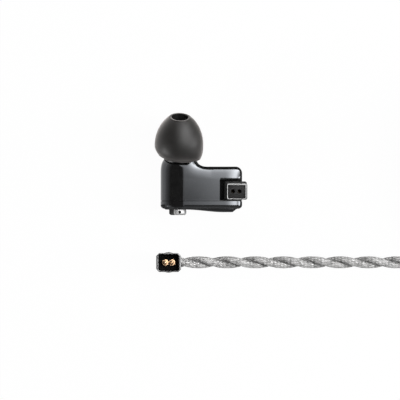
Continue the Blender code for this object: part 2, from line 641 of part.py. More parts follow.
def make_socket():
    centre_x, centre_y = SOCKET_CENTRE
    nose = rounded_outline(*SOCKET_NOSE, SOCKET_NOSE_CORNER, SOCKET_CENTRE)
    flange_left = centre_x - SOCKET_NOSE[0] / 2 - SOCKET_FLANGE_LEFT
    flange_right = centre_x + SOCKET_NOSE[0] / 2 + SOCKET_FLANGE_SIDE
    flange_low = SEAM_Y + FIT
    flange_high = centre_y + SOCKET_NOSE[1] / 2 + SOCKET_FLANGE_TOP
    flange_size = (flange_right - flange_left, flange_high - flange_low)
    flange_centre = ((flange_left + flange_right) / 2, (flange_low + flange_high) / 2)
    plate = box_outline(NOTCH_LEFT + FIT, BODY_RIGHT - FIT, SEAM_Y + FIT, NOTCH_TOP - FIT)
    plate_front = NOTCH_FLOOR + SOCKET_PLATE
    housing = prism("socket_housing", "satin_black", plate, NOTCH_FLOOR + FIT, plate_front)
    flange = prism("flange", None, rounded_outline(*flange_size, SOCKET_NOSE_CORNER, flange_centre),
                   NOTCH_FLOOR + SOCKET_FLANGE_FOOT, BODY_DEPTH)
    combine(housing, flange, "UNION")
    combine(housing, prism("nose", None, nose, plate_front, SOCKET_FRONT), "UNION")
    recess = rounded_outline(*SOCKET_RECESS, SOCKET_RECESS_CORNER, SOCKET_CENTRE)
    floor = SOCKET_FRONT - SOCKET_RECESS_DEPTH
    combine(housing, prism("recess", None, recess, floor, SOCKET_FRONT + FIT))
    pocket_x = centre_x - PIN_PITCH / 4
    pocket = box_outline(pocket_x - SOCKET_POCKET[0] / 2, pocket_x + SOCKET_POCKET[0] / 2,
                         centre_y - SOCKET_POCKET[1] / 2, centre_y + SOCKET_POCKET[1] / 2)
    pocket_roof = NOTCH_FLOOR + SOCKET_POCKET_DEPTH
    combine(housing, prism("pocket", None, pocket, NOTCH_FLOOR - FIT, pocket_roof))
    contact_bore = PIN_RADIUS + FIT
    contact_radius = contact_bore + CONTACT_WALL
    contact_top = floor - SOCKET_LIP
    for name, side in (("left", -1), ("right", 1)):
        at = (contact_x(side), centre_y)
        hole = turned("contact_hole", None, [
            (0, SOCKET_FRONT), (contact_bore, SOCKET_FRONT), (contact_bore, contact_top + FIT),
            (contact_radius + FIT, contact_top + FIT), (contact_radius + FIT, NOTCH_FLOOR - FIT),
            (0, NOTCH_FLOOR - FIT)], None, SMALL_ROUND)
        hole.location = (*at, 0)
        combine(housing, hole)
        foot = pocket_roof + FIT
        contact = turned("socket_contact_" + name, "gold", [
            (0, foot + CONTACT_WALL), (contact_bore, foot + CONTACT_WALL), (contact_bore, contact_top),
            (contact_radius, contact_top), (contact_radius, foot), (CONTACT_TAIL, foot),
            (CONTACT_TAIL, foot - CONTACT_TAIL_LENGTH), (0, foot - CONTACT_TAIL_LENGTH)], None, SMALL_ROUND)
        contact.location = (*at, 0)


def contact_x(side):
    return SOCKET_CENTRE[0] - PIN_PITCH / 12 + side * PIN_PITCH / 2


# Dial and vent valve: Z of their axis points out of the faceplate, with 0 on its outside

def make_dial(dial_axis):
    inside = FACE_BOTTOM - FACE_INSIDE
    shaft = SPINDLE_RADIUS + RUN
    low = RUN
    grip_end = low + SPINDLE_GRIP
    dial = turned("bass_dial", "chrome", [
        (0, low + DIAL_HEIGHT), (DIAL_RADIUS - DIAL_EDGE, low + DIAL_HEIGHT),
        (DIAL_RADIUS, low + DIAL_HEIGHT - DIAL_EDGE), (DIAL_RADIUS, low), (SPINDLE_RADIUS + FIT, low),
        (SPINDLE_RADIUS + FIT, grip_end), (0, grip_end)], dial_axis)
    make_marker(dial, dial_axis)
    top = grip_end - FIT
    end = top - SPINDLE_LENGTH
    bush_flange_low = inside - FIT
    flange_end = bush_flange_low - BUSH_FLANGE_HEIGHT
    bush = shaft + BUSH_WALL
    groove = SPINDLE_RADIUS + 2 * ORING_SECTION + 2 * RUN
    groove_low = inside / 2 - ORING_SECTION - RUN
    groove_high = inside / 2 + ORING_SECTION + RUN
    turned("dial_bush", "steel", [
        (bush, -FIT), (bush, bush_flange_low), (BUSH_FLANGE, bush_flange_low), (BUSH_FLANGE, flange_end),
        (shaft, flange_end), (shaft, groove_low), (groove, groove_low), (groove, groove_high),
        (shaft, groove_high), (shaft, -FIT)], dial_axis, SMALL_ROUND)
    ring_middle = SPINDLE_RADIUS + RUN + ORING_SECTION
    section = [(ring_middle + ORING_SECTION * cos(-k * pi / 3), inside / 2 + ORING_SECTION * sin(-k * pi / 3))
               for k in range(6)]
    turned("dial_oring", "rubber", section, dial_axis, SMALL_ROUND)
    mesh_top = inside - FIT
    mesh_end = mesh_top - VENT_MESH_THICKNESS
    mesh = turned("vent_mesh", "grey_metal", tube(BUSH_FLANGE + FIT, VENT_RADIUS, mesh_end, mesh_top),
                  dial_axis, SMALL_ROUND)
    plate_top = flange_end - FIT
    plate_end = plate_top - VENT_PLATE_THICKNESS
    plate = turned("vent_plate", "satin_black", tube(shaft, VENT_RADIUS, plate_end, plate_top), dial_axis,
                   SMALL_ROUND)
    valve_top = plate_end - RUN
    valve_end = valve_top - VALVE_THICKNESS
    hub_end = valve_end - VALVE_HUB_HEIGHT
    grip = SPINDLE_RADIUS + FIT
    valve = turned("dial_valve_disc", "steel", [
        (VENT_RADIUS, valve_top), (VENT_RADIUS, valve_end), (VALVE_HUB, valve_end), (VALVE_HUB, hub_end),
        (grip, hub_end), (grip, valve_top)], dial_axis, SMALL_ROUND)
    for side in (-1, 1):
        at = (side * VENT_PORT_CIRCLE, 0)
        drill(mesh, VENT_PORT / 2, mesh_end - FIT, mesh_top + FIT, dial_axis, at, FINE_ROUND)
        drill(plate, VENT_PORT, plate_end - FIT, plate_top + FIT, dial_axis, at, FINE_ROUND)
        drill(valve, VENT_PORT, valve_end - FIT, valve_top + FIT, dial_axis, at, FINE_ROUND)
    clip_top = hub_end - RUN
    clip_end = clip_top - CLIP_THICKNESS
    groove_radius = SPINDLE_RADIUS - CLIP_GROOVE
    turned("dial_spindle", "steel", [
        (0, top), (SPINDLE_RADIUS, top), (SPINDLE_RADIUS, clip_top + FIT), (groove_radius, clip_top + FIT),
        (groove_radius, clip_end - FIT), (SPINDLE_RADIUS, clip_end - FIT), (SPINDLE_RADIUS, end), (0, end)],
        dial_axis, SMALL_ROUND)
    make_clip(dial_axis, groove_radius + FIT, clip_end, clip_top)


def make_clip(dial_axis, inner, low, high):
    """A spring clip, open at one side."""
    opening = radians(80)
    steps = SMALL_ROUND
    sweep = [opening / 2 + (2 * pi - opening) * i / steps for i in range(steps + 1)]
    outline = [(CLIP_RADIUS * cos(angle), CLIP_RADIUS * sin(angle)) for angle in sweep]
    outline += [(inner * cos(angle), inner * sin(angle)) for angle in reversed(sweep)]
    prism("dial_clip", "steel", outline, low, high, dial_axis)


def make_marker(dial, dial_axis):
    """A diamond let into the dial's side, facing the front."""
    middle = RUN + DIAL_HEIGHT / 2
    facing = axis("marker_axis", (DIAL_RADIUS * sin(MARKER_ANGLE), DIAL_RADIUS * cos(MARKER_ANGLE), middle),
                  (-pi / 2, 0, -MARKER_ANGLE))
    facing.parent = dial_axis

    def diamond(size):
        return [(size, 0), (0, size), (-size, 0), (0, -size)]

    proud = MARKER_DEPTH
    combine(dial, prism("marker_pocket", None, diamond(MARKER_SIZE + FIT), -MARKER_DEPTH, proud, facing))
    prism("dial_marker", "satin_black", diamond(MARKER_SIZE), -MARKER_DEPTH + FIT, -FIT, facing)


# Driver: Z of its axis is +Y, with 0 at half the shell's height

def make_driver(driver_axis):
    inside = DRIVER_RADIUS - DRIVER_WALL
    ledge_top = DRIVER_LEDGE_BASE + DRIVER_LEDGE
    yoke_hole = YOKE_RADIUS + FIT
    turned("driver_frame", "satin_black", [
        (DRIVER_RADIUS, DRIVER_TOP), (DRIVER_RADIUS, DRIVER_LEDGE_BASE), (yoke_hole, DRIVER_LEDGE_BASE),
        (yoke_hole, ledge_top), (inside, ledge_top), (inside, DRIVER_TOP)], driver_axis, SMALL_ROUND)
    yoke_low = ledge_top - YOKE_HEIGHT
    yoke_floor = yoke_low + YOKE_FLOOR
    yoke_inside = YOKE_RADIUS - YOKE_WALL
    turned("driver_yoke", "steel", [
        (0, yoke_floor), (yoke_inside, yoke_floor), (yoke_inside, ledge_top), (YOKE_RADIUS, ledge_top),
        (YOKE_RADIUS, yoke_low), (0, yoke_low)], driver_axis, SMALL_ROUND)
    magnet_low = yoke_floor + FIT
    magnet_high = magnet_low + MAGNET_HEIGHT
    turned("driver_magnet", "magnet", disc(MAGNET_RADIUS, magnet_low, magnet_high), driver_axis, SMALL_ROUND)
    plate_low = magnet_high + FIT
    plate_high = plate_low + TOP_PLATE_HEIGHT
    turned("driver_top_plate", "steel", disc(TOP_PLATE_RADIUS, plate_low, plate_high), driver_axis,
           SMALL_ROUND)
    coil_inner = (TOP_PLATE_RADIUS + yoke_inside - COIL_WALL) / 2
    coil_low = ledge_top - COIL_DIP
    coil_high = coil_low + COIL_HEIGHT
    turned("voice_coil", "copper", tube(coil_inner, coil_inner + COIL_WALL, coil_low, coil_high), driver_axis,
           SMALL_ROUND)
    make_diaphragm(driver_axis, coil_high + FIT, coil_inner + COIL_WALL, inside - RUN)
    front_low = DRIVER_TOP + FIT
    front_high = front_low + FRONT_PLATE_THICKNESS
    front = turned("driver_front_plate", "grey_metal", disc(DRIVER_RADIUS, front_low, front_high),
                   driver_axis, SMALL_ROUND)
    drill(front, FRONT_PLATE_HOLE, front_low - FIT, front_high + FIT, driver_axis, steps=FINE_ROUND)
    for spoke in range(6):
        at = (DRIVER_RADIUS / 2 * cos(spoke * pi / 3), DRIVER_RADIUS / 2 * sin(spoke * pi / 3))
        drill(front, FRONT_PLATE_HOLE, front_low - FIT, front_high + FIT, driver_axis, at, FINE_ROUND)
    board_high = DRIVER_LEDGE_BASE - FIT
    turned("driver_terminal_board", "board",
           tube(yoke_hole, TERMINAL_RADIUS, board_high - TERMINAL_THICKNESS, board_high), driver_axis,
           SMALL_ROUND)
    make_baffle(front_high + FIT)
    return board_high - TERMINAL_THICKNESS / 2


def make_diaphragm(driver_axis, low, coil_edge, edge):
    """A thin dome inside the coil's edge and a rolled surround outside it."""
    steps = 4
    upper = []
    for i in range(steps):
        radius = coil_edge * i / steps
        upper.append((radius, low + DIAPHRAGM_THICKNESS + DIAPHRAGM_DOME * (1 - (radius / coil_edge) ** 2)))
    for i in range(steps + 1):
        radius = coil_edge + (edge - coil_edge) * i / steps
        upper.append((radius, low + DIAPHRAGM_THICKNESS + DIAPHRAGM_DOME / 2 * sin(pi * i / steps)))
    lower = [(radius, height - DIAPHRAGM_THICKNESS) for radius, height in reversed(upper)]
    turned("diaphragm", "film", upper + lower, driver_axis, SMALL_ROUND)


def make_baffle(low):
    """A plate across the shell, with a hole over the driver."""
    shape = bmesh.new()
    rings = [[shape.verts.new(point) for point in flat_ring(FACE_INSET, height)]
             for height in (low, low + BAFFLE_THICKNESS)]
    skin(shape, rings)
    ladder_cap(shape, rings[0])
    ladder_cap(shape, rings[1])
    baffle = solid("driver_baffle", "satin_black", shape)
    hole_axis = axis("baffle_axis", (COLUMN_X, low, MIDDLE_Z), (-pi / 2, 0, 0))
    drill(baffle, BAFFLE_HOLE, -BAFFLE_THICKNESS, 2 * BAFFLE_THICKNESS, hole_axis, steps=ROUND)


def make_wires(board_y):
    """Two wires from the socket's contacts down the back of the shell to the driver's board."""
    board_x = COLUMN_X + TERMINAL_RADIUS
    tail_z = NOTCH_FLOOR + SOCKET_POCKET_DEPTH + FIT - CONTACT_TAIL_LENGTH
    wall = BODY_RIGHT - SHELL_WALL
    for name, side, look in (("positive", -1, "red_wire"), ("negative", 1, "blue_wire")):
        start_x = min(contact_x(side), wall - 2 * WIRE_RADIUS)
        start = Vector((start_x, SOCKET_CENTRE[1], tail_z - WIRE_RADIUS - RUN))
        end_z = MIDDLE_Z - side * 0.6 * MM
        end = Vector((board_x + 2 * RUN, board_y, end_z))
        low = 3.4 * MM - side * 0.5 * MM
        route = [start, start + Vector((0, 0, -1.0 * MM)),
                 Vector((start.x - 1.0 * MM, start.y, low + 0.6 * MM)),
                 Vector((start.x - 2.6 * MM, start.y + 0.1 * MM, low)),
                 Vector((3.0 * MM, (start.y + board_y) / 2, low)),
                 Vector((0.6 * MM, board_y, low + 0.5 * MM)),
                 end + Vector((0.9 * MM, 0, 0)), end]
        cord("wire_" + name, look, smooth_route(route, 3), WIRE_RADIUS, 1)


# Cords

def smooth_route(points, parts):
    """Points read from one smooth curve through a route's own points."""
    points = [Vector(point) for point in points]
    result = []
    for i in range(len(points) - 1):
        before = points[max(i - 1, 0)]
        start = points[i]
        end = points[i + 1]
        after = points[min(i + 2, len(points) - 1)]
        for part in range(parts):
            t = part / parts
            result.append(0.5 * (2 * start + (end - before) * t
                                 + (2 * before - 5 * start + 4 * end - after) * t ** 2
                                 + (3 * start - before - 3 * end + after) * t ** 3))
    return result + [points[-1]]


def cord(name, look, points, radius, sides):
    """A round tube with closed ends along a list of points."""
    curve = bpy.data.curves.new(name, "CURVE")
    curve.dimensions = "3D"
    curve.bevel_depth = radius
    curve.bevel_resolution = sides
    curve.use_fill_caps = True
    line = curve.splines.new("POLY")
    line.points.add(len(points) - 1)
    for spot, point in zip(line.points, points):
        spot.co = (*point, 1)
    curve.materials.append(finish_for(name, look))
    return place(bpy.data.objects.new(name, curve), None)


def coil_point(turn):
    """A point of the coil: it spirals in on the table, climbs a layer as it reverses, and spirals out."""
    past = turn - COIL_TURNS_IN
    spread = sqrt(past * past + COIL_TURN_BACK ** 2)
    radius = COIL_OUTER + TURN_PITCH * (spread - COIL_TURNS_IN)
    angle = 2 * pi * turn - pi / 2
    height = COIL_BASE + COIL_LIFT * smooth_step(past * 2 + 0.5)
    return Vector((COIL_X + radius * cos(angle), COIL_Y + radius * sin(angle), height))


def coil_points(fineness=1):
    """The coil's turns, with an end that runs straight for one cord diameter at each side."""
    per_turn = POINTS_PER_TURN * fineness
    turns = [coil_point(i / per_turn) for i in range(COIL_TURNS * per_turn + 1)]
    along = Vector((LEAD_DIAMETER, 0, 0))
    return [turns[0] - along] + turns + [turns[-1] + along]


def least_gap(points, diameter):
    """The narrowest space between stretches of a tube that are over two diameters apart along it."""
    lengths = [0]
    for a, b in zip(points, points[1:]):
        lengths.append(lengths[-1] + (b - a).length)
    least = None
    for i, a in enumerate(points):
        for j in range(i + 1, len(points)):
            if lengths[j] - lengths[i] > 3 * diameter:
                gap = (points[j] - a).length - diameter
                least = gap if least is None else min(least, gap)
    return least, lengths[-1]


def make_lead():
    run = [Vector((x * MM, PLUG_Y, z * MM)) for x, z in RUN_ROUTE]
    coil = coil_points()
    tail = [Vector((COIL_X + x * MM, COIL_Y + y * MM, z * MM)) for x, y, z in TAIL_ROUTE]
    cord("lead_run", "silver_braid", smooth_route(run, 1), LEAD_RADIUS, 2)
    cord("lead_coil", "silver_braid", coil, LEAD_RADIUS, 1)
    cord("lead_tail", "silver_braid", smooth_route(tail, 1), LEAD_RADIUS, 2)
    gap, length = least_gap(coil_points(4), LEAD_DIAMETER)
    print("coil: least gap to itself %.2f mm, length %.1f mm" % (gap / MM, length / MM))
    for name, points in (("run", run), ("tail", tail)):
        print("%s: length %.1f mm" % (name, least_gap(points, LEAD_DIAMETER)[1] / MM))


def make_tie():
    """A strap round all the turns at the coil's far side."""
    held = [point.y for point in coil_points(4) if abs(point.x - COIL_X) < TIE_WIDTH / 2 and point.y > COIL_Y]
    inner = min(held) - LEAD_RADIUS - TIE_GAP
    outer = max(held) + LEAD_RADIUS + TIE_GAP
    low = COIL_BASE - LEAD_RADIUS - TIE_GAP
    high = COIL_BASE + COIL_LIFT + LEAD_RADIUS + TIE_GAP
    middle = ((inner + outer) / 2, (low + high) / 2)
    shape = bmesh.new()
    rings = []
    for grow, x in ((0, -TIE_WIDTH / 2), (TIE_THICKNESS, -TIE_WIDTH / 2), (TIE_THICKNESS, TIE_WIDTH / 2),
                    (0, TIE_WIDTH / 2)):
        outline = rounded_outline(outer - inner + 2 * grow, high - low + 2 * grow, TIE_CORNER + grow, middle)
        rings.append([shape.verts.new((COIL_X + x, y, z)) for y, z in outline])
    skin(shape, rings, closed=True)
    solid("coil_tie", "strap", shape)


# Plugs

def make_plug():
    centre = (PLUG_X, PLUG_Y)
    hood_low = PLUG_HEIGHT - PLUG_CAVITY_DEPTH - PLUG_FLOOR
    floor = PLUG_HEIGHT - PLUG_CAVITY_DEPTH
    outline = rounded_outline(*HOOD_OUTSIDE, PLUG_CHAMFER, centre, 1)
    hood = prism("plug_hood", "grey_metal", outline, hood_low, PLUG_HEIGHT)
    inner_chamfer = PLUG_CHAMFER / 2
    inside = rounded_outline(*HOOD_INSIDE, inner_chamfer, centre, 1)
    combine(hood, prism("hood_cavity", None, inside, floor, PLUG_HEIGHT + FIT))
    window = rounded_outline(*(size + 2 * FIT for size in INSULATOR_STEM), FIT, centre, 1)
    combine(hood, prism("hood_window", None, window, hood_low - FIT, floor + FIT))
    flange_low = floor + FIT
    flange_high = flange_low + INSULATOR_FLANGE
    flange = rounded_outline(*(size - 2 * FIT for size in HOOD_INSIDE), inner_chamfer, centre, 1)
    insulator = prism("plug_insulator", "satin_black", flange, flange_low, flange_high)
    stem_low = flange_low - INSULATOR_STEM_LENGTH
    stem = prism("stem", None, rounded_outline(*INSULATOR_STEM, FIT, centre, 1), stem_low, flange_high - FIT)
    combine(insulator, stem, "UNION")
    for name, side in (("left", -1), ("right", 1)):
        at = (PLUG_X + side * PIN_PITCH / 2, PLUG_Y)
        drill(insulator, PIN_RADIUS + FIT, stem_low - FIT, flange_high + FIT, None, at, SMALL_ROUND)
        collar = flange_high + FIT
        collar_top = collar + PIN_COLLAR_HEIGHT
        tip = collar_top + PIN_LENGTH
        pin = turned("plug_pin_" + name, "gold", [
            (0, tip), (PIN_RADIUS * 0.6, tip - PIN_RADIUS * 0.15), (PIN_RADIUS, tip - PIN_RADIUS * 0.6),
            (PIN_RADIUS, collar_top), (PIN_COLLAR_RADIUS, collar_top), (PIN_COLLAR_RADIUS, collar),
            (PIN_RADIUS, collar), (PIN_RADIUS, stem_low), (0, stem_low)], None, SMALL_ROUND)
        pin.location = (*at, 0)
    make_plug_barrel(hood_low - FIT, stem_low)


def make_plug_barrel(barrel_top, stem_low):
    """The round back of the plug, its cover and the relief that the lead comes out of."""
    plug_axis = axis("plug_axis", (PLUG_X, PLUG_Y, 0))
    barrel_low = COVER_THICKNESS + FIT
    roof = barrel_top - BARREL_ROOF
    barrel = turned("plug_barrel", "grey_metal", [
        (0, barrel_top), (BARREL_RADIUS, barrel_top), (BARREL_RADIUS, barrel_low),
        (BARREL_CHAMBER, barrel_low), (BARREL_CHAMBER, roof), (0, roof)], plug_axis)
    window = rounded_outline(*(size + 2 * FIT for size in INSULATOR_STEM), FIT, (0, 0), 1)
    window_low = min(stem_low, roof) - FIT
    combine(barrel, prism("barrel_window", None, window, window_low, barrel_top + FIT, plug_axis))
    exit_axis = axis("exit_axis", (PLUG_X, PLUG_Y, LEAD_EXIT_HEIGHT), (0, pi / 2, 0))
    drill(barrel, RELIEF_RADIUS + FIT, 0, RELIEF_OUTSIDE, exit_axis, steps=ROUND)
    turned("plug_strain_relief", "rubber", [
        (RELIEF_END_RADIUS, RELIEF_OUTSIDE), (RELIEF_RADIUS, BARREL_RADIUS), (RELIEF_RADIUS, RELIEF_INSIDE),
        (RELIEF_BORE, RELIEF_INSIDE), (RELIEF_BORE, RELIEF_OUTSIDE)], exit_axis, SMALL_ROUND)
    boss = min(BARREL_CHAMBER, RELIEF_INSIDE) - RUN
    boss_top = barrel_low + BARREL_ROOF / 2
    turned("plug_back_cover", "grey_metal", [
        (0, boss_top), (boss, boss_top), (boss, COVER_THICKNESS), (BARREL_RADIUS, COVER_THICKNESS),
        (BARREL_RADIUS, DIAL_EDGE), (BARREL_RADIUS - DIAL_EDGE, 0), (0, 0)], plug_axis)


def make_jack():
    """Boot, barrel and contacts of the straight plug, along +Y."""
    end_x, end_y, end_z = TAIL_ROUTE[-1]
    boot_start = (COIL_X + end_x * MM, COIL_Y + end_y * MM + CORD_GAP, end_z * MM)
    jack_axis = axis("jack_axis", boot_start, (-pi / 2, 0, 0))
    turned("jack_boot", "rubber", [
        (BOOT_RADIUS, BOOT_LENGTH), (BOOT_END_RADIUS, 0), (BOOT_BORE, 0), (BOOT_BORE, BOOT_LENGTH)],
        jack_axis, SMALL_ROUND)
    low = BOOT_LENGTH + FIT
    high = low + JACK_BARREL_LENGTH
    edge = JACK_BARREL_WALL / 2
    bore = JACK_BARREL_RADIUS - JACK_BARREL_WALL
    turned("jack_barrel", "grey_metal", [
        (bore, high), (JACK_BARREL_RADIUS - edge, high), (JACK_BARREL_RADIUS, high - edge),
        (JACK_BARREL_RADIUS, low + edge), (JACK_BARREL_RADIUS - edge, low), (BOOT_BORE, low),
        (BOOT_BORE, low + JACK_BARREL_WALL), (bore, low + JACK_BARREL_WALL)], jack_axis)
    root = bore - FIT
    sleeve_end = high + JACK_SLEEVE_LENGTH
    core = JACK_CORE + FIT
    turned("jack_sleeve", "gold", [
        (JACK_RADIUS, sleeve_end), (JACK_RADIUS, high + FIT), (root, high + FIT), (root, high - JACK_ROOT),
        (core, high - JACK_ROOT), (core, sleeve_end)], jack_axis, SMALL_ROUND)
    place_along = sleeve_end + FIT
    for name, look, length in (("jack_insulator_back", "satin_black", JACK_BAND),
                               ("jack_ring", "gold", JACK_RING_LENGTH),
                               ("jack_insulator_front", "satin_black", JACK_BAND)):
        turned(name, look, tube(core, JACK_RADIUS, place_along, place_along + length), jack_axis, SMALL_ROUND)
        place_along += length + FIT
    tip_end = place_along + JACK_TIP_LENGTH
    neck = JACK_RADIUS * 0.68
    turned("jack_tip", "gold", [
        (0, tip_end), (neck * 0.6, tip_end - JACK_TIP_LENGTH * 0.05),
        (JACK_RADIUS * 0.95, tip_end - JACK_TIP_LENGTH * 0.4),
        (JACK_RADIUS, tip_end - JACK_TIP_LENGTH * 0.5), (neck, tip_end - JACK_TIP_LENGTH * 0.75),
        (JACK_RADIUS * 0.9, place_along), (JACK_CORE, place_along), (JACK_CORE, high - JACK_ROOT + FIT),
        (0, high - JACK_ROOT + FIT)], jack_axis, SMALL_ROUND)


def main():
    clear_scene()
    nozzle_axis = axis("nozzle_axis", SEAT, NOZZLE_FACING)
    driver_axis = axis("driver_axis", (COLUMN_X, 0, MIDDLE_Z), (-pi / 2, 0, 0))
    dial_axis = axis("dial_axis", (DIAL_X, FACE_BOTTOM, MIDDLE_Z), (pi / 2, 0, 0))
    bpy.context.view_layer.update()
    make_shell()
    make_gasket()
    make_faceplate(dial_axis)
    make_nozzle(nozzle_axis)
    make_ear_tip(nozzle_axis)
    make_socket()
    make_dial(dial_axis)
    board_y = make_driver(driver_axis)
    make_wires(board_y)
    make_plug()
    make_lead()
    make_tie()
    make_jack()
    bpy.context.view_layer.update()


main()
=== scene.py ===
"""Looks of one in-ear monitor and its unplugged two-pin lead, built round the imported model.

Metres, +Z up. The monitor lies on its flat back: the socket faces +Z, the ear tip points to +Y and the
dial to -Y. The camera looks straight down on it, as in the photograph.
"""
import json
from math import atan2, cos, floor, pi, radians, sin, sqrt, tan

import bmesh
import bpy
from mathutils import Euler, Matrix, Vector


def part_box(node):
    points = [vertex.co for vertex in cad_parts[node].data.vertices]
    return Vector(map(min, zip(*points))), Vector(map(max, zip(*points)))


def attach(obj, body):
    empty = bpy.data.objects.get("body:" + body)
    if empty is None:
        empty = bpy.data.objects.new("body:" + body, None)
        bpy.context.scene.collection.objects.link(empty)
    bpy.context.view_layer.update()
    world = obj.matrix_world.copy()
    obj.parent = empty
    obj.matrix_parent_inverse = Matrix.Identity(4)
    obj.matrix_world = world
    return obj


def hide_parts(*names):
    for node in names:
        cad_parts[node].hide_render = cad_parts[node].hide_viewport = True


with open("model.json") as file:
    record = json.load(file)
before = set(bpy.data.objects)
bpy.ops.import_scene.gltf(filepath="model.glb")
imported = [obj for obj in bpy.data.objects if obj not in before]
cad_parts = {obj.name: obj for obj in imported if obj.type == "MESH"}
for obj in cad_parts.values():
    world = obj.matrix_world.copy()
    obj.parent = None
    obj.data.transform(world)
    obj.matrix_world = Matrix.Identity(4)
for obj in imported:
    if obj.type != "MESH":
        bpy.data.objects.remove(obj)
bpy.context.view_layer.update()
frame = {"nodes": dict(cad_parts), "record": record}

MM = 0.001


def placed(spot, turns):
    """A place and a turn as one matrix."""
    return Matrix.Translation(spot) @ Euler(turns).to_matrix().to_4x4()


# Photograph: its size in pixels, the size of one pixel, and where the origin of the part falls in it
PHOTO_WIDTH = 400
PIXEL = 0.25 * MM
ORIGIN_PIXEL = (201.3, 183.4)
CAMERA_HEIGHT = 1.5
SHARP_HEIGHT = 8 * MM           # height above the table at which the pixel has that size
SENSOR = 36.0

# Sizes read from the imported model
SHELL_LOW, SHELL_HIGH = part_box("main_shell")
DIAL_LOW, DIAL_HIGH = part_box("bass_dial")
SOCKET_LOW, SOCKET_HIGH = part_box("socket_housing")
HOOD_LOW, HOOD_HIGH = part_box("plug_hood")
BARREL_LOW, BARREL_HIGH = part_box("plug_barrel")
TIE_LOW, TIE_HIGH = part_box("coil_tie")
BOOT_LOW, BOOT_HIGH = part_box("jack_boot")
JACK_LOW, JACK_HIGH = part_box("jack_barrel")

# Clearances: a hair, a fixed fit and a running fit
HAIR = 0.01 * MM
FIT = 0.05 * MM
RUN = 0.08 * MM

# Shell
BODY_LEFT = SHELL_LOW.x
BODY_RIGHT = SHELL_HIGH.x
BODY_DEPTH = SHELL_HIGH.z
MIDDLE_Z = BODY_DEPTH / 2
SEAM_Y = SHELL_LOW.y
SHOULDER_Y = -SEAM_Y
SHELL_WALL = 0.9 * MM
COLUMN_REACH = 6.0 * MM         # length of the rounded left end
COLUMN_X = BODY_LEFT + COLUMN_REACH
DRIVER_X = BODY_LEFT + 4.75 * MM
FRONT_CORNER = (4.2 * MM, 1.8 * MM)
BACK_CORNER = 2.4 * MM
FACE_END = BODY_RIGHT - FRONT_CORNER[0]
FACE_SAG = 0.22 * MM            # fall of the front from the column to its corner
FACE_BULGE = 0.08 * MM          # swell of the front at half its height
SHOULDER_ROUND = 1.6 * MM
SHOULDER_FALL = (1.7 * MM, 1.3 * MM)    # height of the shoulder's round, and what the front adds
SHOULDER_LIMIT = 0.4
NECK_ROUND = 2.4 * MM
NECK_LIMIT = 0.8
NECK_RADIUS = 4.2 * MM
NECK_SHIFT = 0.55 * MM
NECK_EDGE = 0.3 * MM
NECK_POWER = 4                  # 2 makes the right half of the neck round, more makes it squarer
NECK_RIGHT_Y = SHOULDER_Y + 1.85 * MM
NECK_RIGHT_SPAN = (0.3, 0.5)    # where round the neck that height begins, and its rise
FLOW_NEAR = 2 * MM              # a wall this near the neck flows into it
FLOW_SPAN = 3 * MM              # one that is further away by this doesn't
FLOW_CORNER = 0.82
HOLLOW_SPAN = (0.35, 0.7)
SEAM_LIP = 0.15 * MM            # thickness of the lip that hides the gasket, and how low it reaches
SEAM_LOW = SEAM_Y - 0.13 * MM

# Nozzle and ear tip
NOZZLE_LEAN = radians(17)
NOZZLE_TURN = radians(2.2)
NOZZLE_RISE = 1.75 * MM
SEAT_Z = MIDDLE_Z + NOZZLE_RISE * tan(NOZZLE_LEAN)
SEAT = Vector((BODY_LEFT + 4.46 * MM, SHOULDER_Y + NOZZLE_RISE, SEAT_Z))
NOZZLE_PLACE = placed(SEAT, (NOZZLE_LEAN - pi / 2, 0, -NOZZLE_TURN))
NOZZLE_TILT = NOZZLE_PLACE.to_3x3()
NOZZLE_AXIS = NOZZLE_TILT @ Vector((0, 0, 1))
NECK = SEAT + Vector((NECK_SHIFT, 0, 0))
COLLAR_RADIUS = 3.55 * MM
COLLAR_HEIGHT = 0.9 * MM
SPIGOT_RADIUS = 2.9 * MM
SPIGOT_LENGTH = 2.2 * MM
NOZZLE_RADIUS = 2.3 * MM
NOZZLE_LENGTH = 7.2 * MM
LIP_RADIUS = 2.6 * MM
LIP_LENGTH = 0.8 * MM
NOZZLE_BORE = 1.7 * MM
GRILLE_RADIUS = 2.0 * MM
GRILLE_THICKNESS = 0.25 * MM
TIP_RADIUS = 6.09 * MM
TIP_RIM = 0.8 * MM
TIP_WAIST = 4.0 * MM
TIP_TOP = 11.15 * MM
TIP_DOME = 7.9 * MM
TIP_DOME_POWER = 1.9
TIP_TUCK = 1.0 * MM
TIP_TUCK_POWER = 2.4
TIP_WALL = 0.6 * MM
TIP_MOUTH = 1.8 * MM
TIP_BEND = 0.12                 # slope that the mouth adds to the nozzle's lean
TIP_RIM_LIFT = (0.25 * MM, 0.5 * MM)    # how much higher the rim stands, and what the left side adds
TIP_RIM_FLARE = 0.65 * MM       # how much wider the rim is on the right
TIP_BORE = LIP_RADIUS + RUN
TIP_STEM = TIP_BORE + 0.65 * MM
TIP_STEM_FOOT = COLLAR_HEIGHT + 0.3 * MM
TIP_LIP = 0.75 * MM             # width and height of the rounded edge of the mouth
TIP_LIP_HEIGHT = 0.3 * TIP_WALL
TIP_CREST = TIP_TOP - TIP_LIP_HEIGHT
TIP_THROAT = TIP_CREST - 0.7 * MM
TIP_SHOULDER = NOZZLE_LENGTH + RUN

# Faceplate
FACE_TOP = SEAM_Y - 0.24 * MM
FACE_WALL = 0.95 * MM
FACE_BOTTOM = FACE_TOP - 1.9 * MM
FACE_ROUND = 1.0 * MM
FACE_STEP = 0.55 * MM           # width of the round at the edge of the crown
FACE_CROWN = 0.85 * MM
FACE_SWELL = 0.22 * MM          # swell of the part round the dial
CROWN_RISE = (14.0 * MM, 4.6 * MM)      # from and to, measured from the body's right end
CROWN_FALL = (2.6 * MM, 1.1 * MM)
HOLE_REACH = 4 * MM
HOLE_TURN = 0.03                # keeps the holes' facets off those of the faceplate

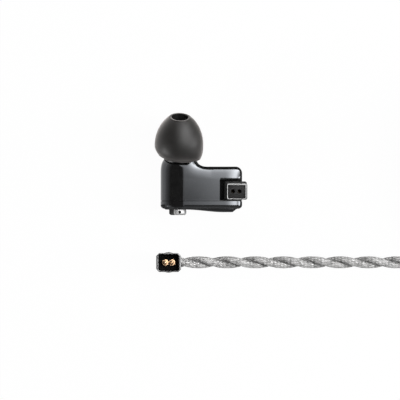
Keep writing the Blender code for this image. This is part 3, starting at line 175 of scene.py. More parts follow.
# Socket
NOTCH_LEFT = BODY_RIGHT - 5.6 * MM
NOTCH_TOP = SEAM_Y + 5.2 * MM
NOTCH_FLOOR = BODY_DEPTH - 2.9 * MM
NOTCH_FLARE = (0.5 * MM, 0.2 * MM)      # width and depth of the round along the upper edge
NOTCH_CORNER = 0.25 * MM
NOTCH_LIFT = 0.012 * MM         # how far that round ends above the front
NOSE_CENTRE = (BODY_RIGHT - 1.25 * MM, SEAM_Y + 2.16 * MM)
NOSE_SIZE = (5.08 * MM, 4.08 * MM)
NOSE_CORNER = 0.5 * MM
FLANGE_LEFT = 0.62 * MM         # how far the flange behind the nose stands out past it on each side
FLANGE_RIGHT = -0.12 * MM
FLANGE_ABOVE = 0.5 * MM
FLANGE_BELOW = -0.1 * MM
FLANGE_FOOT = NOTCH_FLOOR + 0.9 * MM
FLANGE_EDGE = 0.25 * MM
PLATE_CORNER = 0.15 * MM
PLATE_EDGE = 0.06 * MM
UNION_DEPTH = 0.2 * MM          # how far the nose and the recess's floor reach into what carries them
RIM_EDGE = 0.05 * MM
RIM_ROUND = 0.1 * MM            # width of the round outside the bright rim, which is painted dark as shade
RIM_SHIFT = (0.07 * MM, 0.03 * MM)      # how much wider it is on the right, and below
RECESS_CENTRE = (NOSE_CENTRE[0] - 0.14 * MM, NOSE_CENTRE[1] - 0.075 * MM)
RECESS_SIZE = (4.36 * MM, 3.33 * MM)
RECESS_CORNER = 0.25 * MM
RECESS_DEPTH = 0.4 * MM
HOLE_CENTRE = (BODY_RIGHT - 1.48 * MM, SEAM_Y + 2.22 * MM)
SOCKET_FRONT = SOCKET_HIGH.z
RECESS_FLOOR = SOCKET_FRONT - RECESS_DEPTH
RIM_FOOT = RECESS_FLOOR - 0.06 * MM
PLATE_FRONT = NOTCH_FLOOR + 1.4 * MM
PIN_PITCH = 1.6 * MM
PIN_RADIUS = 0.39 * MM

# Dial
DIAL_X = (DIAL_LOW.x + DIAL_HIGH.x) / 2
DIAL_RADIUS = (DIAL_HIGH.x - DIAL_LOW.x) / 2
DIAL_HEIGHT = DIAL_HIGH.y - DIAL_LOW.y
DIAL_EDGE = 0.36 * MM
DIAL_PLACE = placed((DIAL_X, FACE_BOTTOM, MIDDLE_Z), (pi / 2, 0, 0))
DIAL_DISH = 0.12 * MM           # depth of the hollow in its end, and the width of the rim round it
DIAL_DISH_RIM = (0.7 * MM, 0.8 * MM)
SPINDLE_RADIUS = 0.8 * MM
SPINDLE_GRIP = 0.85 * MM
BUSH_RADIUS = SPINDLE_RADIUS + RUN + 0.6 * MM
VENT_PORT = 0.3 * MM
VENT_PORT_CIRCLE = 2.1 * MM
MARKER_SIZE = 0.42 * MM
MARKER_DEPTH = 0.3 * MM
MARKER_ANGLE = radians(14)
DIAL_SHADE_EDGES = (radians(-116), radians(-26))     # part of the dial's side painted dark as shade, from the front

# Right-angle plug
PLUG_X = (HOOD_LOW.x + HOOD_HIGH.x) / 2
PLUG_Y = (HOOD_LOW.y + HOOD_HIGH.y) / 2
HOOD_SIZE = (HOOD_HIGH.x - HOOD_LOW.x, HOOD_HIGH.y - HOOD_LOW.y)
CAVITY_SIZE = (NOSE_SIZE[0] + 2 * FIT, NOSE_SIZE[1] + 2 * FIT)
CAVITY_FLOOR = HOOD_HIGH.z - 2.9 * MM
WINDOW_SIZE = (3.9 * MM, 2.3 * MM)
HOOD_CHAMFER = 0.7 * MM
HOOD_CORNER_ROUND = 0.1 * MM
HOOD_FOOT_ROUND = 0.1 * MM
HOOD_TOP_ROUND = 0.14 * MM
CAVITY_CORNER_ROUND = 0.06 * MM
CAVITY_ROUND = 0.08 * MM
BARREL_GROOVES = (0.7 * MM, 1.1 * MM)   # below the barrel's top
BARREL_GROOVE_DEPTH = 0.08 * MM
COVER_THICKNESS = 0.5 * MM
COVER_CHAMFER = 0.2 * MM
BARREL_RADIUS = (BARREL_HIGH.x - BARREL_LOW.x) / 2
RELIEF_RADIUS = 1.8 * MM
RELIEF_END_RADIUS = 1.6 * MM
RELIEF_BORE = 1.0 * MM
RELIEF_INSIDE = 1.9 * MM
RELIEF_OUTSIDE = 3.0 * MM
LEAD_EXIT_HEIGHT = 2.6 * MM
EXIT_PLACE = placed((PLUG_X, PLUG_Y, LEAD_EXIT_HEIGHT), (0, pi / 2, 0))
EXIT_POINT = (PLUG_X + RELIEF_OUTSIDE, PLUG_Y, LEAD_EXIT_HEIGHT)
PIN_COLLAR_RISE = 0.6 * MM
PIN_COLLAR_RADIUS = 0.83 * MM
PIN_COLLAR_HEIGHT = 0.3 * MM
PIN_SPREAD = 0.05 * MM          # how much further out than the socket's holes each pin stands

# Lead: two flat braided strands twisted round each other
LEAD_DIAMETER = 3.0 * MM
HALF_TWIST = 7.1 * MM
WIDE_X = -0.58 * MM             # place along the run at which the strands lie side by side
STRAND_OFFSET = 0.71 * MM
STRAND_THICK = 0.74 * MM        # half the strand's size across the twist, and along it
STRAND_WIDE = 0.92 * MM
YARNS = 8
YARN_PITCH = 0.85 * MM
YARN_RISE = 0.18
RUN_FINE_END = 56 * MM          # the run has fine stations up to this X, and coarse ones after it
RUN_FINE_LENGTH = 100 * MM
FINE_STEP = 0.12 * MM
COARSE_STEP = 0.8 * MM
FINE_SIDES = 32
COARSE_SIDES = 16
ROUTE_PARTS = 8
TURN_PITCH = 3.5 * MM
COIL_OUTER = 24.9 * MM
COIL_TURNS_IN = 4.75
COIL_TURNS = 10
COIL_X = 79.0 * MM
COIL_Y = PLUG_Y + COIL_OUTER
COIL_BASE = 2.4 * MM
COIL_TURN_BACK = 0.08
POINTS_PER_TURN = 96

# The lead from the plug to the coil: X and Z, at the plug's Y
RUN_ROUTE = [
    (-4.87, 2.6), (-3.5, 2.58), (-1.8, 2.45), (0.5, 2.12), (3.5, 1.76), (7.0, 1.56), (11.0, 1.5),
    (16.0, 1.5), (22.0, 1.5), (28.0, 1.5), (34.0, 1.5), (40.0, 1.5), (46.0, 1.5), (52.0, 1.5),
    (57.0, 1.52), (61.5, 1.62), (65.5, 1.86), (69.0, 2.15), (72.0, 2.34), (74.2, 2.4), (75.7, 2.4),
]

# The tail from the coil to the far plug: X and Y from the coil's centre, and Z
TAIL_ROUTE = [
    (3.3, -26.65, 5.9), (5.2, -26.62, 5.88), (8.0, -26.4, 5.7), (11.0, -25.85, 5.3), (14.0, -24.95, 4.7),
    (17.0, -23.6, 4.0), (19.8, -21.85, 3.3), (22.4, -19.7, 2.7), (24.7, -17.2, 2.35), (26.6, -14.4, 2.3),
    (28.1, -11.6, 2.5), (29.1, -9.0, 2.78), (29.45, -7.6, 2.92), (29.5, -6.95, 2.95),
]

# Tie and far plug
TIE_THICKNESS = 0.6 * MM
TIE_CORNER = 1.6 * MM
TIE_EDGE = 0.2 * MM
TIE_END_LENGTH = 9 * MM
TIE_END_CORNER = 1.2 * MM
TIE_END_SHIFT = 1 * MM
TIE_END_GAP = 0.02 * MM
BOOT_START = BOOT_LOW.y
BOOT_LENGTH = BOOT_HIGH.y - BOOT_LOW.y
JACK_CENTRE = (JACK_LOW + JACK_HIGH) / 2
JACK_PLACE = placed((JACK_CENTRE.x, BOOT_START, JACK_CENTRE.z), (-pi / 2, 0, 0))
JACK_BARREL_RADIUS = (JACK_HIGH.x - JACK_LOW.x) / 2
JACK_RADIUS = 1.75 * MM
JACK_CORE = 0.55 * MM
JACK_CHAMFER = 0.3 * MM
JACK_GROOVES = (2.0 * MM, 1.4 * MM)     # before the barrel's end
JACK_GROOVE_DEPTH = 0.12 * MM
BOOT_RIBS = 5
BOOT_RADIUS = 1.8 * MM
BOOT_FLARE = 0.4 * MM
BOOT_END_RADIUS = 2.1 * MM
BOOT_GROOVE_DEPTH = 0.25 * MM

# Edges of turned pieces
TURNED_EDGE = 0.12 * MM
SMALL_EDGE = 0.1 * MM
PIN_EDGE = 0.09 * MM
CONTACT_EDGE = 0.06 * MM
JACK_TIP_EDGE = 0.35 * MM

# Counts
COLUMN_STEPS = 40
FACE_STEPS = 60
CORNER_STEPS = 24
SIDE_STEPS = 6
WALL_ROWS = 24
ROUND_ROWS = 12
TURNED = 96
SMALL_TURNED = 48


# Camera

def make_camera():
    data = bpy.data.cameras.new("camera")
    data.sensor_width = SENSOR
    data.lens = SENSOR * (CAMERA_HEIGHT - SHARP_HEIGHT) / (PHOTO_WIDTH * PIXEL)
    data.clip_start = 0.01
    data.clip_end = 50
    camera = bpy.data.objects.new("camera", data)
    centre = PHOTO_WIDTH / 2
    across = (centre - ORIGIN_PIXEL[0]) * PIXEL
    along = (ORIGIN_PIXEL[1] - centre) * PIXEL
    camera.location = (across, along, CAMERA_HEIGHT)
    bpy.context.scene.collection.objects.link(camera)
    bpy.context.scene.camera = camera
    bpy.context.scene.view_settings.view_transform = "Standard"


# Materials

def add_node(tree, kind, sources=None, **settings):
    """A node with its settings, and its sockets set or linked."""
    node = tree.nodes.new(kind)
    for name, value in settings.items():
        setattr(node, name, value)
    for socket, source in (sources or {}).items():
        if isinstance(source, bpy.types.NodeSocket):
            tree.links.new(source, node.inputs[socket])
        else:
            node.inputs[socket].default_value = source
    return node


class Finish:
    """A procedural material on one Principled shader, with noise read in the object's own metres."""

    def __init__(self, name, metallic=0.0, values=None):
        self.material = bpy.data.materials.new(name)
        self.material.use_nodes = True
        self.tree = self.material.node_tree
        self.shader = self.tree.nodes["Principled BSDF"]
        self.shader.inputs["Metallic"].default_value = metallic
        for socket, value in (values or {}).items():
            self.shader.inputs[socket].default_value = value

    def add(self, kind, sources=None, **settings):
        return add_node(self.tree, kind, sources, **settings)

    def math(self, operation, first, second=0.0):
        return self.add("ShaderNodeMath", {0: first, 1: second}, operation=operation).outputs[0]

    def times(self, first, second):
        return self.math("MULTIPLY", first, second)

    def place(self, stretch=(1, 1, 1)):
        """The point on the object, stretched along its axes."""
        point = self.add("ShaderNodeTexCoord").outputs["Object"]
        return self.add("ShaderNodeMapping", {"Vector": point, "Scale": stretch}).outputs[0]

    def noise(self, size, detail=3.0, stretch=(1, 1, 1)):
        """Noise whose spots are about one size across."""
        sources = {"Vector": self.place(stretch), "Scale": 1 / size, "Detail": detail}
        return self.add("ShaderNodeTexNoise", sources).outputs["Fac"]

    def bands(self, size, direction):
        """Soft bands of one width, side by side in a direction."""
        sources = {"Vector": self.place(), "Scale": 0.314 / size}
        return self.add("ShaderNodeTexWave", sources, bands_direction=direction).outputs["Fac"]

    def spread(self, factor, low, high, start=0.3, end=0.7):
        """A factor's range mapped to another."""
        sources = {"Value": factor, "From Min": start, "From Max": end, "To Min": low, "To Max": high}
        return self.add("ShaderNodeMapRange", sources).outputs[0]

    def colour(self, factor, *stops):
        """Colours at places along a factor."""
        node = self.add("ShaderNodeValToRGB", {"Fac": factor})
        ramp = node.color_ramp
        while len(ramp.elements) < len(stops):
            ramp.elements.new(0.5)
        for element, (position, colour) in zip(ramp.elements, stops):
            element.position = position
            element.color = (*colour, 1)
        self.tree.links.new(node.outputs["Color"], self.shader.inputs["Base Color"])

    def roughness(self, factor, low, high, start=0.3, end=0.7):
        self.tree.links.new(self.spread(factor, low, high, start, end), self.shader.inputs["Roughness"])

    def bump(self, height, strength, distance):
        sources = {"Height": height, "Strength": strength, "Distance": distance}
        self.tree.links.new(self.add("ShaderNodeBump", sources).outputs[0], self.shader.inputs["Normal"])


def grey(level, warmth=0.0):
    return (level * (1 + warmth), level, level * (1 - warmth))


def surface(name, low, high, roughness, sizes, details=(3, 4, 3), bump=(0.1, 0.02 * MM), values=None,
            metallic=0.0, stretch=(1, 1, 1)):
    """Mottled colour, uneven roughness and a fine grain, each with its size of spot."""
    finish = Finish(name, metallic, values)
    finish.colour(finish.noise(sizes[0], details[0]), (0.3, low), (0.7, high))
    finish.roughness(finish.noise(sizes[1], details[1], stretch), *roughness)
    finish.bump(finish.noise(sizes[2], details[2], stretch), *bump)
    return finish.material


def metal(name, low, high, roughness, grain, stretch=(1, 1, 1), strength=0.08, metallic=1.0):
    """A metal with a fine grain, drawn out along one axis where it was turned or brushed."""
    return surface(name, low, high, roughness, (grain * 6, grain * 3, grain), bump=(strength, 0.02 * MM),
                   metallic=metallic, stretch=stretch)


def plain(name, low, high, roughness, spot, values=None):
    """A moulded or painted surface with slight mottling and grain."""
    return surface(name, low, high, roughness, (spot * 3, spot, spot / 2), values=values)


def cloth(name, low, high, thread):
    """Crossed threads."""
    finish = Finish(name, values={"Sheen Weight": 0.3, "Sheen Roughness": 0.5})
    weave = finish.math("MAXIMUM", finish.bands(thread, "X"), finish.bands(thread, "Y"))
    mottle = finish.times(weave, finish.spread(finish.noise(thread * 4), 0.7, 1.0))
    finish.colour(mottle, (0.2, low), (0.9, high))
    finish.roughness(finish.noise(thread * 2), 0.8, 0.95)
    finish.bump(weave, 0.5, thread / 3)
    return finish.material


def wound_copper():
    finish = Finish("copper", metallic=1.0)
    turns = finish.bands(0.06 * MM, "Y")
    finish.colour(turns, (0.1, (0.32, 0.13, 0.06)), (0.7, (0.75, 0.38, 0.2)))
    finish.roughness(finish.noise(0.1 * MM), 0.28, 0.42)
    finish.bump(turns, 0.6, 0.02 * MM)
    return finish.material


def braid():
    """Yarns that pass over and under each other, read from the strand's own UV."""
    finish = Finish("silver_braid", metallic=0.15)
    point = finish.add("ShaderNodeUVMap", uv_map="braid").outputs[0]
    parts = finish.add("ShaderNodeSeparateXYZ", {0: point})
    first = parts.outputs["X"]
    second = parts.outputs["Y"]
    ridges = []
    for along, across in ((first, second), (second, first)):
        crest = finish.times(finish.math("PINGPONG", along, 0.5), 2.0)
        bow = finish.math("PINGPONG", across, 0.5)
        threads = finish.math("SINE", finish.times(along, 8 * pi))
        ridge = finish.spread(finish.math("POWER", crest, 0.6), 0.5, 1.0, 0.0, 1.0)
        ridge = finish.times(ridge, finish.spread(bow, 0.72, 1.0, 0.0, 0.35))
        ridges.append(finish.math("ADD", ridge, finish.times(threads, 0.05)))
    row = finish.math("FLOOR", first)
    column = finish.math("FLOOR", second)
    over = finish.math("FLOORED_MODULO", finish.math("ADD", row, column), 2.0)
    cell = finish.add("ShaderNodeCombineXYZ", {"X": row, "Y": column}).outputs[0]
    dice = finish.add("ShaderNodeTexWhiteNoise", {"Vector": cell}, noise_dimensions="2D")
    chance = dice.outputs["Value"]
    sources = {"Factor": over, "A": ridges[0], "B": ridges[1]}
    height = finish.add("ShaderNodeMix", sources, data_type="FLOAT").outputs[0]
    # Painted shade of the braid's relief: the yarns' crests are painted lighter and the gaps darker, and
    # yarns that run one way catch less light than those that cross them
    tone = finish.times(height, finish.spread(over, 1.0, 0.7, 0.0, 1.0))
    tone = finish.times(tone, finish.spread(chance, 0.7, 1.25, 0.0, 1.0))
    # Painted shade: the side that faces the other strand is painted darker, where the strands shade each
    # other
    around = finish.times(finish.math("ADD", first, second), 0.5)
    inward = finish.math("PINGPONG", around, YARNS / 2)
    tone = finish.times(tone, finish.spread(inward, 1.02, 0.66, 0.8, 3.2))
    mottle_and_painted_shade = finish.times(tone, finish.spread(finish.noise(0.45 * MM, 4), 0.65, 1.25))
    finish.colour(mottle_and_painted_shade, (0.15, grey(0.03, 0.01)), (0.5, grey(0.38, 0.01)), (1.0, grey(0.62, 0.01)))
    finish.roughness(mottle_and_painted_shade, 0.8, 0.6, 0.2, 0.9)
    finish.bump(height, 0.6, 0.08 * MM)
    return finish.material


SILICONE_SHEEN = {"IOR": 1.45, "Specular IOR Level": 0.25, "Sheen Weight": 0.9, "Sheen Roughness": 0.4,
                  "Sheen Tint": (1.0, 0.94, 0.91, 1)}
FINISHES = {
    "gloss_black": surface("gloss_black", grey(0.009), grey(0.013), (0.07, 0.11),
                           (1.4 * MM, 0.5 * MM, 2.2 * MM), (3, 5, 1), (0.03, 0.1 * MM),
                           {"IOR": 1.62, "Specular Tint": (0.9, 0.94, 1.0, 1)}),
    "satin_black": surface("satin_black", grey(0.008), grey(0.013), (0.38, 0.5),
                           (0.6 * MM, 0.2 * MM, 0.08 * MM), (3, 4, 2), (0.12, 0.02 * MM),
                           {"IOR": 1.5, "Specular IOR Level": 0.15}),
    "silicone": surface("silicone", grey(0.005, 0.04), grey(0.008, 0.04), (0.44, 0.52),
                        (1.8 * MM, 0.5 * MM, 0.12 * MM), bump=(0.05, 0.02 * MM), values=SILICONE_SHEEN),
    "rubber": surface("rubber", grey(0.012), grey(0.02), (0.6, 0.75), (0.7 * MM, 0.25 * MM, 0.1 * MM),
                      bump=(0.2, 0.03 * MM), values={"IOR": 1.45}),
    "steel": metal("steel", grey(0.4), grey(0.5), (0.22, 0.32), 0.06 * MM, (1, 6, 1)),
    "chrome": metal("chrome", grey(0.4), grey(0.46), (0.4, 0.5), 0.05 * MM, (1, 8, 1), 0.02, 0.45),
    "grey_metal": metal("grey_metal", grey(0.12), grey(0.15), (0.36, 0.46), 0.06 * MM),
    "gold": metal("gold", (0.62, 0.4, 0.23), (0.76, 0.51, 0.31), (0.3, 0.4), 0.06 * MM, strength=0.03,
                  metallic=0.7),
    "copper": wound_copper(),
    "magnet": metal("magnet", grey(0.26), grey(0.34), (0.35, 0.45), 0.08 * MM),
    "felt": cloth("felt", grey(0.4, 0.04), grey(0.58, 0.04), 0.09 * MM),
    "film": plain("film", (0.55, 0.57, 0.54), (0.64, 0.66, 0.63), (0.25, 0.35), 0.2 * MM),
    "board": plain("board", (0.015, 0.1, 0.04), (0.025, 0.15, 0.06), (0.4, 0.55), 0.15 * MM),
    "red_wire": plain("red_wire", (0.38, 0.02, 0.02), (0.5, 0.04, 0.035), (0.4, 0.5), 0.1 * MM),
    "blue_wire": plain("blue_wire", (0.02, 0.05, 0.34), (0.04, 0.08, 0.45), (0.4, 0.5), 0.1 * MM),
    "silver_braid": braid(),
    "strap": cloth("strap", grey(0.012), grey(0.045), 0.22 * MM),
}
# Matt black for the black parts, and painted shade inside the ear tip, the socket's holes and notch, and
# the plug's cavity
MATT_BLACK_AND_SHADE = surface("matt_black_and_shade", grey(0.003), grey(0.006), (0.75, 0.9), (0.5 * MM, 0.2 * MM, 0.1 * MM),
                     (3, 4, 2), (0.15, 0.02 * MM), {"IOR": 1.3, "Specular IOR Level": 0.2})
# Painted shade for the dark sector of the dial
DIAL_PAINTED_SHADE = plain("dial_painted_shade", grey(0.008), grey(0.014), (0.4, 0.5), 0.2 * MM, {"Specular IOR Level": 0.2})
RIM_METAL = metal("rim_metal", grey(0.18), grey(0.22), (0.34, 0.42), 0.05 * MM, strength=0.03)
# Dark steel for the nozzle, and painted shade on the socket rim's round and walls
DARK_STEEL_AND_SHADE = metal("dark_steel_and_shade", grey(0.03), grey(0.045), (0.4, 0.5), 0.06 * MM)
# Painted shade: the socket's contacts deep in their holes are painted near black
CONTACT_IN_SHADE = plain("contact_in_painted_shade", (0.006, 0.004, 0.002), (0.012, 0.008, 0.004), (0.6, 0.8), 0.2 * MM,
                     {"Specular IOR Level": 0.1})
NODE_FINISHES = {
    "socket_contact_left": CONTACT_IN_SHADE,
    "socket_contact_right": CONTACT_IN_SHADE,
    "plug_insulator": MATT_BLACK_AND_SHADE,
    "dial_marker": MATT_BLACK_AND_SHADE,
}


# Shapes

def smooth_step(value):
    value = min(max(value, 0), 1)
    return value * value * (3 - 2 * value)


def spaced(start, end, steps):
    return [start + (end - start) * i / steps for i in range(steps + 1)]


def arc(centre, radii, start, end, steps):
    turns = spaced(start, end, steps)
    return [(centre[0] + radii[0] * cos(turn), centre[1] + radii[1] * sin(turn)) for turn in turns]


def skin(shape, rings, closed=False):
    """Quads between rings of equal count."""
    pairs = list(zip(rings, rings[1:]))
    if closed:
        pairs.append((rings[-1], rings[0]))
    for lower, upper in pairs:
        count = len(lower)
        for i in range(count):
            j = (i + 1) % count
            shape.faces.new((lower[i], lower[j], upper[j], upper[i]))


def loops_of(shape, rings):
    return [[shape.verts.new(point) for point in ring] for ring in rings]


def ladder_cap(shape, ring):
    """Strips across a ring whose stations lie in facing pairs."""
    half = len(ring) // 2
    for i in range(half):
        corners = [ring[i], ring[i + 1], ring[-i - 1], ring[-i]]
        shape.faces.new(list(dict.fromkeys(corners)))


def rounded_outline(width, height, corner, centre=(0, 0), steps=6):
    """Corners of a rounded rectangle; one step makes a chamfer."""
    points = []
    for quarter, (side, end) in enumerate([(1, 1), (-1, 1), (-1, -1), (1, -1)]):
        middle = (centre[0] + side * (width / 2 - corner), centre[1] + end * (height / 2 - corner))
        points += arc(middle, (corner, corner), quarter * pi / 2, (quarter + 1) * pi / 2, steps)
    return points


def soften(points, size, steps=3, on_axis=True):
    """A closed line with its corners rounded off, apart from those on the axis of a turned piece."""
    result = []
    count = len(points)
    for i, point in enumerate(points):
        if on_axis and point[0] == 0:
            result.append(point)
            continue
        here = Vector(point)
        ends = []
        for other in (points[i - 1], points[(i + 1) % count]):
            arm = Vector(other) - here
            ends.append(here + arm.normalized() * min(size, 0.45 * arm.length))
        for t in spaced(0, 1, steps):
            spot = ends[0] * (1 - t) ** 2 + here * 2 * t * (1 - t) + ends[1] * t * t
            result.append((spot.x, spot.y))
    return result


def rod(radius, low, high, core=0):
    """Profile of a plain rod or tube."""
    return [(core, high), (radius, high), (radius, low), (core, low)]


def groove(radius, along, depth, way):
    """Corners of a fine groove in a profile that runs up or down."""
    return [(radius, along - way * depth), (radius - depth, along), (radius, along + way * depth)]


def turned(profile, steps=TURNED, place=Matrix()):
    """A solid of revolution about Z from a closed profile of radius and height."""
    shape = bmesh.new()
    rings = []
    for radius, height in profile:
        if radius == 0:
            rings.append([shape.verts.new((0, 0, height))])
            continue
        angles = [2 * pi * i / steps for i in range(steps)]
        rings.append([shape.verts.new((radius * cos(a), radius * sin(a), height)) for a in angles])
    pairs = list(zip(rings, rings[1:]))
    if profile[0][0] > 0:
        pairs.append((rings[-1], rings[0]))
    for lower, upper in pairs:
        for i in range(steps):
            j = (i + 1) % steps
            corners = [lower[i % len(lower)], lower[j % len(lower)]]
            corners += [upper[j % len(upper)], upper[i % len(upper)]]
            shape.faces.new(list(dict.fromkeys(corners)))
    bmesh.ops.transform(shape, matrix=place, verts=shape.verts)
    return shape


def loops_at(shape, outlines):
    """Loops through outlines in X and Y, each with its height."""
    return loops_of(shape, [[(x, y, z) for x, y in outline] for outline, z in outlines])


def tower(outlines):
    """A closed body through outlines of equal count, each with its height."""
    shape = bmesh.new()
    rings = loops_at(shape, outlines)
    skin(shape, rings)
    shape.faces.new(rings[0])
    shape.faces.new(rings[-1])
    return shape


def collar(outlines):
    """A closed ring whose skin runs through outlines of equal count, and back to the first."""
    shape = bmesh.new()
    skin(shape, loops_at(shape, outlines), closed=True)
    return shape


def block(size, corner, centre, low, high, edge):
    """A rounded rectangle pushed up from low to high, with a rounded upper edge."""
    outlines = [(rounded_outline(*size, corner, centre), low)]
    for turn in spaced(0, pi / 2, 4):
        inset = edge * (1 - cos(turn))
        sizes = [length - 2 * inset for length in size]
        outline = rounded_outline(*sizes, max(corner - inset, FIT), centre)
        outlines.append((outline, high - edge * (1 - sin(turn))))
    return tower(outlines)


def block_between(left, right, below, above, corner, low, high, edge):
    """The same between its four sides."""
    centre = ((left + right) / 2, (below + above) / 2)
    return block((right - left, above - below), corner, centre, low, high, edge)


def thing_of(name, shape):
    bmesh.ops.recalc_face_normals(shape, faces=shape.faces)
    mesh = bpy.data.meshes.new(name)
    shape.to_mesh(mesh)
    shape.free()
    thing = bpy.data.objects.new(name, mesh)
    bpy.context.scene.collection.objects.link(thing)
    return thing


def combine(thing, shape, operation="DIFFERENCE"):
    """Cut a shape from a piece, or join it on."""
    tool = thing_of("tool", shape)
    change = thing.modifiers.new("combine", "BOOLEAN")
    change.operation = operation
    change.solver = "EXACT"
    change.object = tool
    bpy.context.view_layer.update()
    result = thing.evaluated_get(bpy.context.evaluated_depsgraph_get())
    mesh = bpy.data.meshes.new_from_object(result)
    thing.modifiers.clear()
    thing.data = mesh
    bpy.data.objects.remove(tool, do_unlink=True)


def settle(thing, body, slot, replaced, finishes=(), sharp=40):
    """Shading, finish and place in the model of a new piece."""
    mesh = thing.data
    mesh.shade_smooth()
    mesh.set_sharp_from_angle(angle=radians(sharp))
    if not mesh.materials:
        for finish in finishes or (FINISHES[slot],):
            mesh.materials.append(finish)
    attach(thing, body)
    if replaced:
        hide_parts(*replaced)
    return thing


def piece(name, shape, body, slot, replaced, finishes=(), sharp=40):
    return settle(thing_of(name, shape), body, slot, replaced, finishes, sharp)


def lathe(name, profile, edge, place, body, slot, node, count=TURNED, steps=3, finishes=()):
    """A turned piece with its edges rounded off."""
    shape = turned(soften(profile, edge, steps), count, place)
    return piece(name, shape, body, slot, (node,), finishes)


# Lead

def smooth_route(points, parts):
    """Points read from one smooth curve through a route's own points."""
    points = [Vector(point) for point in points]
    result = []
    for i in range(len(points) - 1):
        before = points[max(i - 1, 0)]
        start = points[i]
        end = points[i + 1]
        after = points[min(i + 2, len(points) - 1)]
        for part in range(parts):
            t = part / parts
            result.append(0.5 * (2 * start + (end - before) * t
                                 + (2 * before - 5 * start + 4 * end - after) * t ** 2
                                 + (3 * start - before - 3 * end + after) * t ** 3))
    return result + [points[-1]]


def coil_point(turn):
    """A point of the coil: it spirals in, climbs a layer as it reverses, and spirals out."""
    past = turn - COIL_TURNS_IN
    spread = sqrt(past * past + COIL_TURN_BACK ** 2)
    radius = COIL_OUTER + TURN_PITCH * (spread - COIL_TURNS_IN)
    angle = 2 * pi * turn - pi / 2
    height = COIL_BASE + TURN_PITCH * smooth_step(past * 2 + 0.5)
    return Vector((COIL_X + radius * cos(angle), COIL_Y + radius * sin(angle), height))


def lead_route():
    run = [(x * MM, PLUG_Y, z * MM) for x, z in RUN_ROUTE]
    coil = [coil_point(i / POINTS_PER_TURN) for i in range(COIL_TURNS * POINTS_PER_TURN + 1)]
    along = Vector((LEAD_DIAMETER, 0, 0))
    tail = [(COIL_X + x * MM, COIL_Y + y * MM, z * MM) for x, y, z in TAIL_ROUTE]
    start = [Vector(EXIT_POINT)] + smooth_route(run, ROUTE_PARTS) + [coil[0] - along]
    return start + coil + [coil[-1] + along] + smooth_route(tail, ROUTE_PARTS)


def resample(points, spacings):
    """Points along a line of points, each with its distance from the start, at a given spacing."""
    result = [(points[0], 0.0)]
    target = spacings(points[0], 0.0)
    travelled = 0.0
    for start, end in zip(points, points[1:]):
        step = (end - start).length
        while step > 0 and target <= travelled + step:
            spot = start.lerp(end, (target - travelled) / step)
            result.append((spot, target))
            target += spacings(spot, target)
        travelled += step
    result.append((points[-1], travelled))
    return result


def carried_sides(points):
    """A direction square to the line at each point, carried along without twist from +Y."""
    tangents = []
    for i in range(len(points)):
        tangents.append((points[min(i + 1, len(points) - 1)] - points[max(i - 1, 0)]).normalized())
    side = Vector((0, 1, 0))
    sides = []
    for i, tangent in enumerate(tangents):
        if i:
            side = tangents[i - 1].rotation_difference(tangent) @ side
        side = (side - tangent * side.dot(tangent)).normalized()
        sides.append((side, tangent.cross(side)))
    return sides


def yarn_height(first, second):
    """Height of the braid's surface, 0 to 1, from its two yarn coordinates."""
    over = first if (floor(first) + floor(second)) % 2 == 0 else second
    part = over - floor(over)
    return sqrt(max(0.0, 1 - abs(2 * part - 1)))


def add_strand(shape, layer, stations, phase, count, rise):
    """One flat braided strand along stations of place, distance, side and up."""
    rings = []
    for spot, distance, side, up in stations:
        turn = pi * (distance + PLUG_X + RELIEF_OUTSIDE - WIDE_X) / HALF_TWIST + phase
        outward = side * cos(turn) + up * sin(turn)
        across = up * cos(turn) - side * sin(turn)
        ring = []
        for i in range(count):
            angle = 2 * pi * i / count
            around = YARNS * i / count
            along = distance / YARN_PITCH
            grow = 1 + rise * (yarn_height(around + along, around - along) - 0.5)
            offset = outward * (STRAND_OFFSET + STRAND_THICK * grow * cos(angle))
            ring.append(shape.verts.new(spot + offset + across * (STRAND_WIDE * grow * sin(angle))))
        rings.append(ring)
    for n, (lower, upper) in enumerate(zip(rings, rings[1:])):
        for i in range(count):
            j = (i + 1) % count
            face = shape.faces.new((lower[i], lower[j], upper[j], upper[i]))
            corners = ((n, i), (n, i + 1), (n + 1, i + 1), (n + 1, i))
            for loop, (station, corner) in zip(face.loops, corners):
                around = YARNS * corner / count
                along = stations[station][1] / YARN_PITCH
                loop[layer].uv = (around + along, around - along)
    shape.faces.new(reversed(rings[0]))
    shape.faces.new(rings[-1])


def in_fine_run(spot, distance):
    return distance < RUN_FINE_LENGTH and spot.x < RUN_FINE_END


def make_lead():
    spots = resample(lead_route(), lambda *station: FINE_STEP if in_fine_run(*station) else COARSE_STEP)
    path = [spot for spot, distance in spots]
    stations = [(*station, *sides) for station, sides in zip(spots, carried_sides(path))]
    fine = sum(in_fine_run(*station) for station in spots)
    shape = bmesh.new()
    layer = shape.loops.layers.uv.new("braid")
    for phase in (0, pi):
        add_strand(shape, layer, stations[:fine + 1], phase, FINE_SIDES, YARN_RISE)
        add_strand(shape, layer, stations[fine:], phase, COARSE_SIDES, 0)
    solids = ("lead_run", "lead_coil", "lead_tail")
    return piece("lead_braid", shape, "lead", "silver_braid", solids, sharp=80), path


